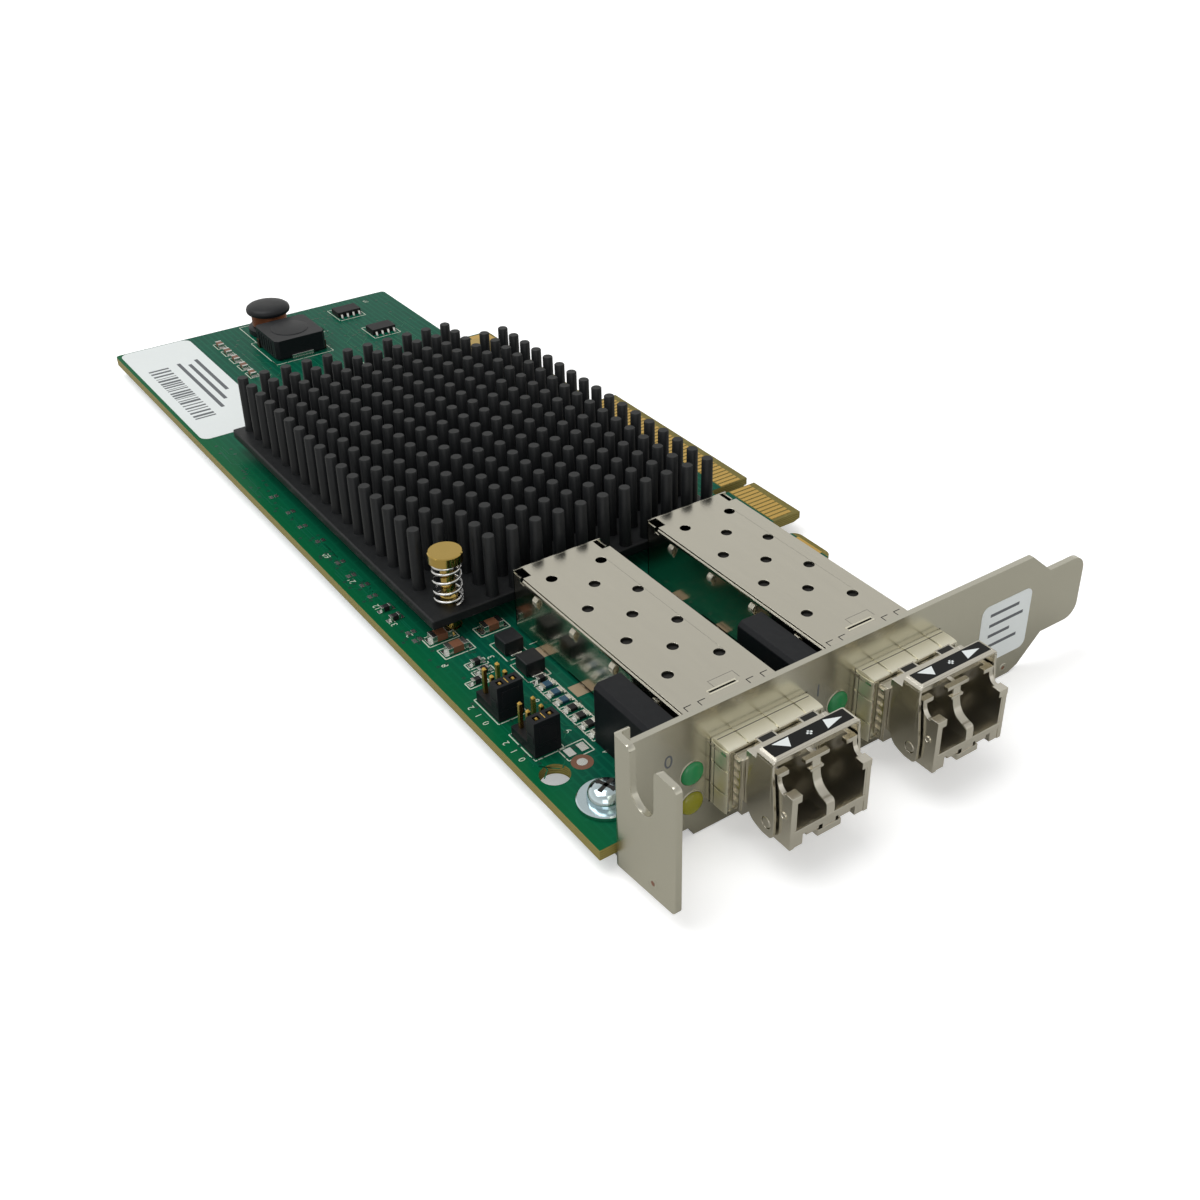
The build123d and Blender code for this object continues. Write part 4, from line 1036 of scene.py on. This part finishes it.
def make_headers():
    """Gold pins with pointed tips, and the open-topped jumper caps."""
    tip_faces = [(0, 1, 5, 4), (1, 2, 6, 5), (2, 3, 7, 6), (3, 0, 4, 7), (4, 5, 6, 7)]
    bm = bmesh.new()
    for start in HEADER_STARTS_X:
        for x in (start, start + HEADER_PITCH, start + 2 * HEADER_PITCH):
            for y in HEADER_ROWS_Y:
                block(bm, x, y, 0.25, 0.25, -2.55, 5.25)
                for z0, z1 in ((5.25, 5.5), (-2.55, -2.77)):
                    points = [(u, v, z0) for u, v in square(x, y, 0.25)]
                    points += [(u, v, z1) for u, v in square(x, y, 0.1)]
                    add_faces(bm, points, tip_faces)
    piece("header_pins_pointed", bm, ["gold_plate"], "gold", replaces=["header_pins"])
    bm = bmesh.new()
    for start in HEADER_STARTS_X:
        x = start + 2 * HEADER_PITCH
        holes = [square(x, y, 0.42) for y in HEADER_ROWS_Y]
        cut_sheet(bm, rectangle(x - 0.95, x + 0.95, 2.6, 6.45), holes, "xy", 1.55, 5.45)
        box(bm, x + 0.95, x + 1.03, 3.3, 5.75, 2.1, 4.6)
        block(bm, x, 2.56, 0.75, 0.04, 2.2, 3.2)
        block(bm, x, 4.51, 0.6, 0.07, 5.3, 5.5, 1)
    piece("jumper_caps_open", bm, ["black_plastic", "gold_plate"], "black_plastic", rounding=0.1,
          replaces=["jumper_caps"])


def chip(bm, place, along, size, pads, body_slot=0):
    """A soldered two-ended part: its body, its metal ends, and the lands that stick out under them."""
    part_length, width, height = size
    pad_reach, pad_width = pads
    end = part_length * 0.24
    blocks = [(0, part_length / 2 - end, width / 2, 0.02, height, body_slot)]
    for side in (-1, 1):
        blocks.append((side * (part_length - end) / 2, end / 2, width / 2 + 0.02, 0.02, height + 0.02, 1))
        blocks.append((side * pad_reach, 0.35, pad_width / 2, 0.0, 0.1, 1))
    for shift, half_length, half_width, z0, z1, slot in blocks:
        if along == "x":
            block(bm, place[0] + shift, place[1], half_length, half_width, z0, z1, slot)
        else:
            block(bm, place[0], place[1] + shift, half_width, half_length, z0, z1, slot)


def make_soldered_parts():
    """Resistors, capacitors and coils with their soldered ends."""
    bm = bmesh.new()
    for i in range(7):
        place = (RESISTOR_START_X + RESISTOR_PITCH * i, RESISTOR_Y)
        chip(bm, place, "y", (2.0, 1.1, 0.5), (1.15, 1.15), 2 if i < 3 else 0)
    piece("soldered_resistors", bm, ["chip_black", "solder", "chip_blue"], "chip", rounding=0.05,
          replaces=["chip_resistors"])
    bm = bmesh.new()
    for place in LARGE_CAPACITORS:
        chip(bm, place, "y", (3.1, 1.65, 1.1), (1.75, 1.7))
    for place in SMALL_CAPACITORS + BARE_CAPACITORS:
        chip(bm, place, "y", (1.6, 0.8, 0.8), (0.95, 0.85), 2)
    for place in REAR_CAPACITORS:
        chip(bm, place, "x", (2.0, 1.1, 0.77), (1.1, 1.1))
    piece("soldered_capacitors", bm, ["ceramic", "solder", "chip_black"], "chip_tan", rounding=0.06,
          replaces=["chip_capacitors"])
    bm = bmesh.new()
    for x, y in SMALL_COILS:
        block(bm, x, y, 1.5, 1.5, 0.15, 2.3)
        for side in (-1, 1):
            block(bm, x + side * 1.62, y, 0.45, 0.9, 0.0, 0.42, 1)
    piece("moulded_coils", bm, ["ferrite", "solder"], "ferrite", rounding=0.18, replaces=["small_coils"])
    bm = bmesh.new()
    bend = ((1.55, 0.75), (1.95, 0.7), (2.15, 0.12), (2.65, 0.06))
    for x, y in REAR_CHIPS:
        for side in (-1, 1):
            lead = [(x + side * out, z) for out, z in bend]
            for k in range(4):
                ribbon(bm, lead, 0.12, "xz", y - 2.1 + 1.27 * k, y - 1.7 + 1.27 * k)
    piece("chip_leads", bm, ["solder"], "chip")


def make_power_coils():
    """A drum coil with its winding, and a shielded square coil with vent ribs."""
    x, y = DRUM_COIL
    bm = bmesh.new()
    turned(bm, (x, y, 0), [(4.1, 0.0), (4.25, 0.15), (4.25, 1.15), (4.05, 1.3), (3.0, 1.32), (3.0, 4.5),
                           (3.85, 4.05), (4.15, 4.22), (4.25, 4.5), (4.25, 4.8), (4.12, 5.12),
                           (3.8, 5.38), (3.2, 5.58), (2.3, 5.72), (1.2, 5.79), (0.05, 5.8)], sides=44)
    turns = 9
    steps = turns * 32
    points = []
    for k in range(steps + 1):
        turn = 2 * math.pi * turns * k / steps
        points.append((x + 3.25 * math.cos(turn), y + 3.25 * math.sin(turn), 1.5 + 2.4 * k / steps))
    wire(bm, points, 0.17, sides=6, slot=1)
    piece("drum_coil_wound", bm, ["ferrite", "copper"], "ferrite", sharp=40, replaces=["drum_coil"])
    x, y = BOX_COIL
    half = 5.1
    cut = half - 0.65
    bm = bmesh.new()
    outline = [(-cut, -half), (cut, -half), (half, -cut), (half, cut), (cut, half), (-cut, half),
               (-half, cut), (-half, -cut)]
    prism(bm, [(x + u, y + v) for u, v in outline], "xy", 0.35, 4.05)
    for side in (-1, 1):
        block(bm, x + side * 3.75, y + side * 5.125, 0.6, 0.225, 0.0, 1.7, 2)
        block(bm, x + side * half, y, 0.35, 2.2, 0.0, 0.9, 1)
        for k in range(6):
            block(bm, x - 3.225 + 1.15 * k, y + side * half, 0.225, 0.1, 0.8, 3.5)
    turned(bm, (x, y, 0), [(3.6, 4.0), (3.6, 4.12), (3.4, 4.15), (0.05, 4.15)], sides=40)
    piece("square_coil", bm, ["ferrite", "solder", "copper"], "ferrite", rounding=0.2,
          replaces=["box_coil"])


def printed(bm, points, width):
    """Straight strokes from point to point."""
    for ends in zip(points, points[1:]):
        ribbon(bm, ends, width, "xy", 0.0, PRINT_HEIGHT)


def printed_frame(bm, x0, x1, y0, y1, width):
    printed(bm, rectangle(x0, x1, y0, y1) + [(x0, y0)], width)


def make_print():
    """Printed outlines and plain figures on the component side."""
    width = mm(sizes().print_width)
    bm = bmesh.new()
    for start in HEADER_STARTS_X:
        printed_frame(bm, start - 1.2, start + 5.15, 2.35, 6.75, width)
        for i in range(3):
            figure(bm, str(2 - i), 1.3,
                   lambda co, x=start + HEADER_PITCH * i: (x - co.x, 1.25 - co.y, PRINT_HEIGHT / 2 + co.z))
    ladder = [RESISTOR_START_X + RESISTOR_PITCH * (i - 0.5) for i in range(8)]
    for x in ladder:
        printed(bm, [(x, 10.35), (x, 13.15)], width)
    for y in (10.35, 13.15):
        printed(bm, [(ladder[0], y), (ladder[-1], y)], width)
    for x0, x1, y0, y1 in ((149.6, 152.2, 5.75, 9.55), (9.6, 21.9, 23.6, 35.4), (0.9, 10.2, 24.7, 34.3)):
        printed_frame(bm, x0, x1, y0, y1, width)
    for places, reach_x, reach_y in ((LARGE_CAPACITORS, 1.25, 2.35), (SMALL_CAPACITORS, 0.75, 1.5),
                                     (SMALL_COILS, 2.4, 1.75), (REAR_CAPACITORS, 1.4, 0.9),
                                     (REAR_CHIPS, 3.1, 2.8)):
        for x, y in places:
            printed_frame(bm, x - reach_x, x + reach_x, y - reach_y, y + reach_y, width)
    for x, y, text in ((112.5, 1.9, "33"), (107.5, 1.9, "12"), (125.6, 3.0, "8"), (127.6, 9.0, "3"),
                       (139.5, 8.9, "6"), (147.2, 8.9, "9"), (153.4, 10.6, "4"), (116.5, 2.4, "2"),
                       (99.0, 2.0, "21"), (90.5, 2.0, "60"), (25.0, 20.6, "16"), (30.6, 38.0, "5"),
                       (12.5, 38.2, "7"), (3.2, 51.6, "10"), (128.2, 15.3, "1"), (134.6, 9.3, "7")):
        figure(bm, text, 1.4, lambda co, x=x, y=y: (x - co.x, y - co.y, PRINT_HEIGHT / 2 + co.z))
    piece("board_print", bm, ["print_white"], "board")


def make_lands():
    """Tan lands at the cage tails, bare solder lands, plated holes, scattered vias and tracks."""
    bm = bmesh.new()
    for x in CAGE_TAILS_X:
        for centre_y in PORT_CENTRES_Y:
            for y in (centre_y - 7.75, centre_y + 7.75):
                block(bm, x, y, 1.25, 1.1, 0.0, PRINT_HEIGHT, 1)
    for y in (6.7, 8.6):
        block(bm, 150.9, y, 0.8, 0.55, 0.0, 0.11)
    test_hole = (153.3, 7.0, 0)
    turned(bm, test_hole, [(0.72, 0.0), (1.45, 0.0), (1.45, 0.02), (0.72, 0.02)], sides=28, slot=3)
    turned(bm, test_hole, [(0.7, 0.02), (0.7, 0.04), (0.4, 0.05), (0.05, 0.05)], sides=28)
    for x, y in ((116.0, 2.4), (118.2, 2.3), (104.6, 2.2), (101.2, 2.6), (97.8, 2.1), (93.4, 2.4),
                 (86.0, 2.6), (80.4, 2.2), (75.2, 2.5), (69.0, 2.3)):
        block(bm, x, y, 0.45, 0.3, 0.0, 0.1)
        block(bm, x, y + 0.85, 0.45, 0.3, 0.0, 0.1)
    piece("solder_lands", bm, ["solder", "tan_land", "via_ring", "ceramic"], "board", rounding=0.03)
    chance = random.Random(11)
    bm = bmesh.new()
    areas = [(2, 48, 20, 55, 110), (121, 152, 1.5, 14, 60), (124, 165, 30.5, 37, 60),
             (46, 119, 0.8, 3.6, 60), (60, 120, 55.5, 62, 70), (4, 30, 36, 44, 25)]
    for x0, x1, y0, y1, count in areas:
        for _ in range(count):
            x = chance.uniform(x0, x1)
            y = chance.uniform(y0, y1)
            turned(bm, (x, y, 0), [(0.3, 0.0), (0.3, PRINT_HEIGHT), (0.12, PRINT_HEIGHT + 0.001)], sides=10)
    piece("board_vias", bm, ["via_ring"], "board")
    bm = bmesh.new()
    for x0, x1, y0, y1, count in areas:
        for _ in range(count // 2):
            x = chance.uniform(x0, x1)
            y = chance.uniform(y0, y1)
            run = min(chance.uniform(2.0, 7.0), x1 - x)
            step = chance.choice((-1, 1)) * min(chance.uniform(0.6, 2.0), (y1 - y0) / 3)
            rise = min(max(y + step, y0), y1)
            if run > 1.0 and abs(rise - y) > 0.1:
                printed(bm, [(x, y), (x + run, y), (x + run + abs(rise - y), rise)], 0.16)
    piece("board_tracks", bm, ["trace_green"], "board")


def make_board_label():
    """A white label with a plain bar pattern at the rear corner."""
    paper_top = 0.06
    ink_top = 0.065
    bm = bmesh.new()
    prism(bm, rounded_rectangle(0.3, 43.5, 0.7, 14.3, 1.6), "xy", 0.0, paper_top)
    chance = random.Random(5)
    x = 11.0
    while x < 35.0:
        bar = chance.uniform(0.25, 0.8)
        box(bm, x, x + bar, 2.6, 6.4, paper_top, ink_top, 1)
        x += bar + chance.uniform(0.3, 0.8)
    for y, x0, x1 in ((8.2, 10.5, 33.0), (9.9, 12.0, 30.0), (11.6, 10.5, 26.5)):
        box(bm, x0, x1, y, y + 0.7, paper_top, ink_top, 1)
    piece("board_label", bm, ["paper", "ink"], "board")


# Operators


class ADAPTER_OT_stage(bpy.types.Operator):
    """Make the pale floor, the soft studio light and the camera"""

    bl_idname = "adapter.stage"
    bl_label = "Stage"

    def execute(self, context):
        scene = context.scene
        scene.view_settings.view_transform = "Standard"
        make_world(scene)
        make_floor()
        make_lamp("key", (-0.25, -0.35, 0.95), (0.0, -0.03, 0.0), (0.8, 0.8), 6.2)
        make_lamp("fill", (0.75, -0.55, 0.35), (0.03, -0.03, 0.0), (0.6, 0.5), 1.2)
        make_camera(scene)
        return {"FINISHED"}


class ADAPTER_OT_nodes(bpy.types.Operator):
    """Give every CAD node that stays in view its finish"""

    bl_idname = "adapter.nodes"
    bl_label = "Board and plain nodes"

    def execute(self, context):
        dress_nodes()
        return {"FINISHED"}


class ADAPTER_OT_heatsink(bpy.types.Operator):
    """Build the pin heatsink with its push pins and springs"""

    bl_idname = "adapter.heatsink"
    bl_label = "Heatsink and push pins"

    def execute(self, context):
        make_heatsink()
        make_push_pins()
        return {"FINISHED"}


class ADAPTER_OT_cages(bpy.types.Operator):
    """Build both port cages with their gaskets"""

    bl_idname = "adapter.cages"
    bl_label = "Cages and gaskets"

    def execute(self, context):
        for port in PORTS:
            cage(port)
            gasket(port)
        return {"FINISHED"}


class ADAPTER_OT_modules(bpy.types.Operator):
    """Build both optical modules with their latch bails"""

    bl_idname = "adapter.modules"
    bl_label = "Modules and bails"

    def execute(self, context):
        for port in PORTS:
            module(port)
            bail(port)
        return {"FINISHED"}


class ADAPTER_OT_bracket(bpy.types.Operator):
    """Build the lenses, screws, washers and label of the bracket"""

    bl_idname = "adapter.bracket"
    bl_label = "Bracket parts"

    def execute(self, context):
        make_lenses()
        make_bracket_parts()
        return {"FINISHED"}


class ADAPTER_OT_soldered(bpy.types.Operator):
    """Build the headers, jumper caps, coils and other soldered parts"""

    bl_idname = "adapter.soldered"
    bl_label = "Soldered parts"

    def execute(self, context):
        make_headers()
        make_soldered_parts()
        make_power_coils()
        return {"FINISHED"}


class ADAPTER_OT_print(bpy.types.Operator):
    """Build the board's printed lines, lands, vias, tracks and label"""

    bl_idname = "adapter.print"
    bl_label = "Board print and lands"

    def execute(self, context):
        make_print()
        make_lands()
        make_board_label()
        return {"FINISHED"}


OPERATORS = (ADAPTER_OT_stage, ADAPTER_OT_nodes, ADAPTER_OT_heatsink, ADAPTER_OT_cages, ADAPTER_OT_modules,
             ADAPTER_OT_bracket, ADAPTER_OT_soldered, ADAPTER_OT_print)


class ADAPTER_PT_panel(bpy.types.Panel):
    """Lists the sizes, the colours and the steps that build the card"""

    bl_idname = "ADAPTER_PT_panel"
    bl_label = "Fibre channel adapter"
    bl_space_type = "VIEW_3D"
    bl_region_type = "UI"
    bl_category = "Adapter"

    def draw(self, context):
        for group in (context.scene.adapter_sizes, context.scene.adapter_colours):
            column = self.layout.column(align=True)
            for key in group.__annotations__:
                column.prop(group, key)
        for step in OPERATORS:
            self.layout.operator(step.bl_idname)


CLASSES = (AdapterSizes, AdapterColours, *OPERATORS, ADAPTER_PT_panel)


def register():
    for cls in CLASSES:
        bpy.utils.register_class(cls)
    bpy.types.Scene.adapter_sizes = PointerProperty(type=AdapterSizes)
    bpy.types.Scene.adapter_colours = PointerProperty(type=AdapterColours)


def unregister():
    del bpy.types.Scene.adapter_colours
    del bpy.types.Scene.adapter_sizes
    for cls in reversed(CLASSES):
        bpy.utils.unregister_class(cls)


def main():
    register()
    bpy.ops.adapter.stage()
    bpy.ops.adapter.nodes()
    bpy.ops.adapter.heatsink()
    bpy.ops.adapter.cages()
    bpy.ops.adapter.modules()
    bpy.ops.adapter.bracket()
    bpy.ops.adapter.soldered()
    bpy.ops.adapter.print()
    with open("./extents.json", "w") as sheet:
        json.dump({"cad": [list(corner) for corner in cad_box],
                   "visual": [list(corner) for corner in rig.bounds()]}, sheet)


if __name__ == "__main__":
    main()
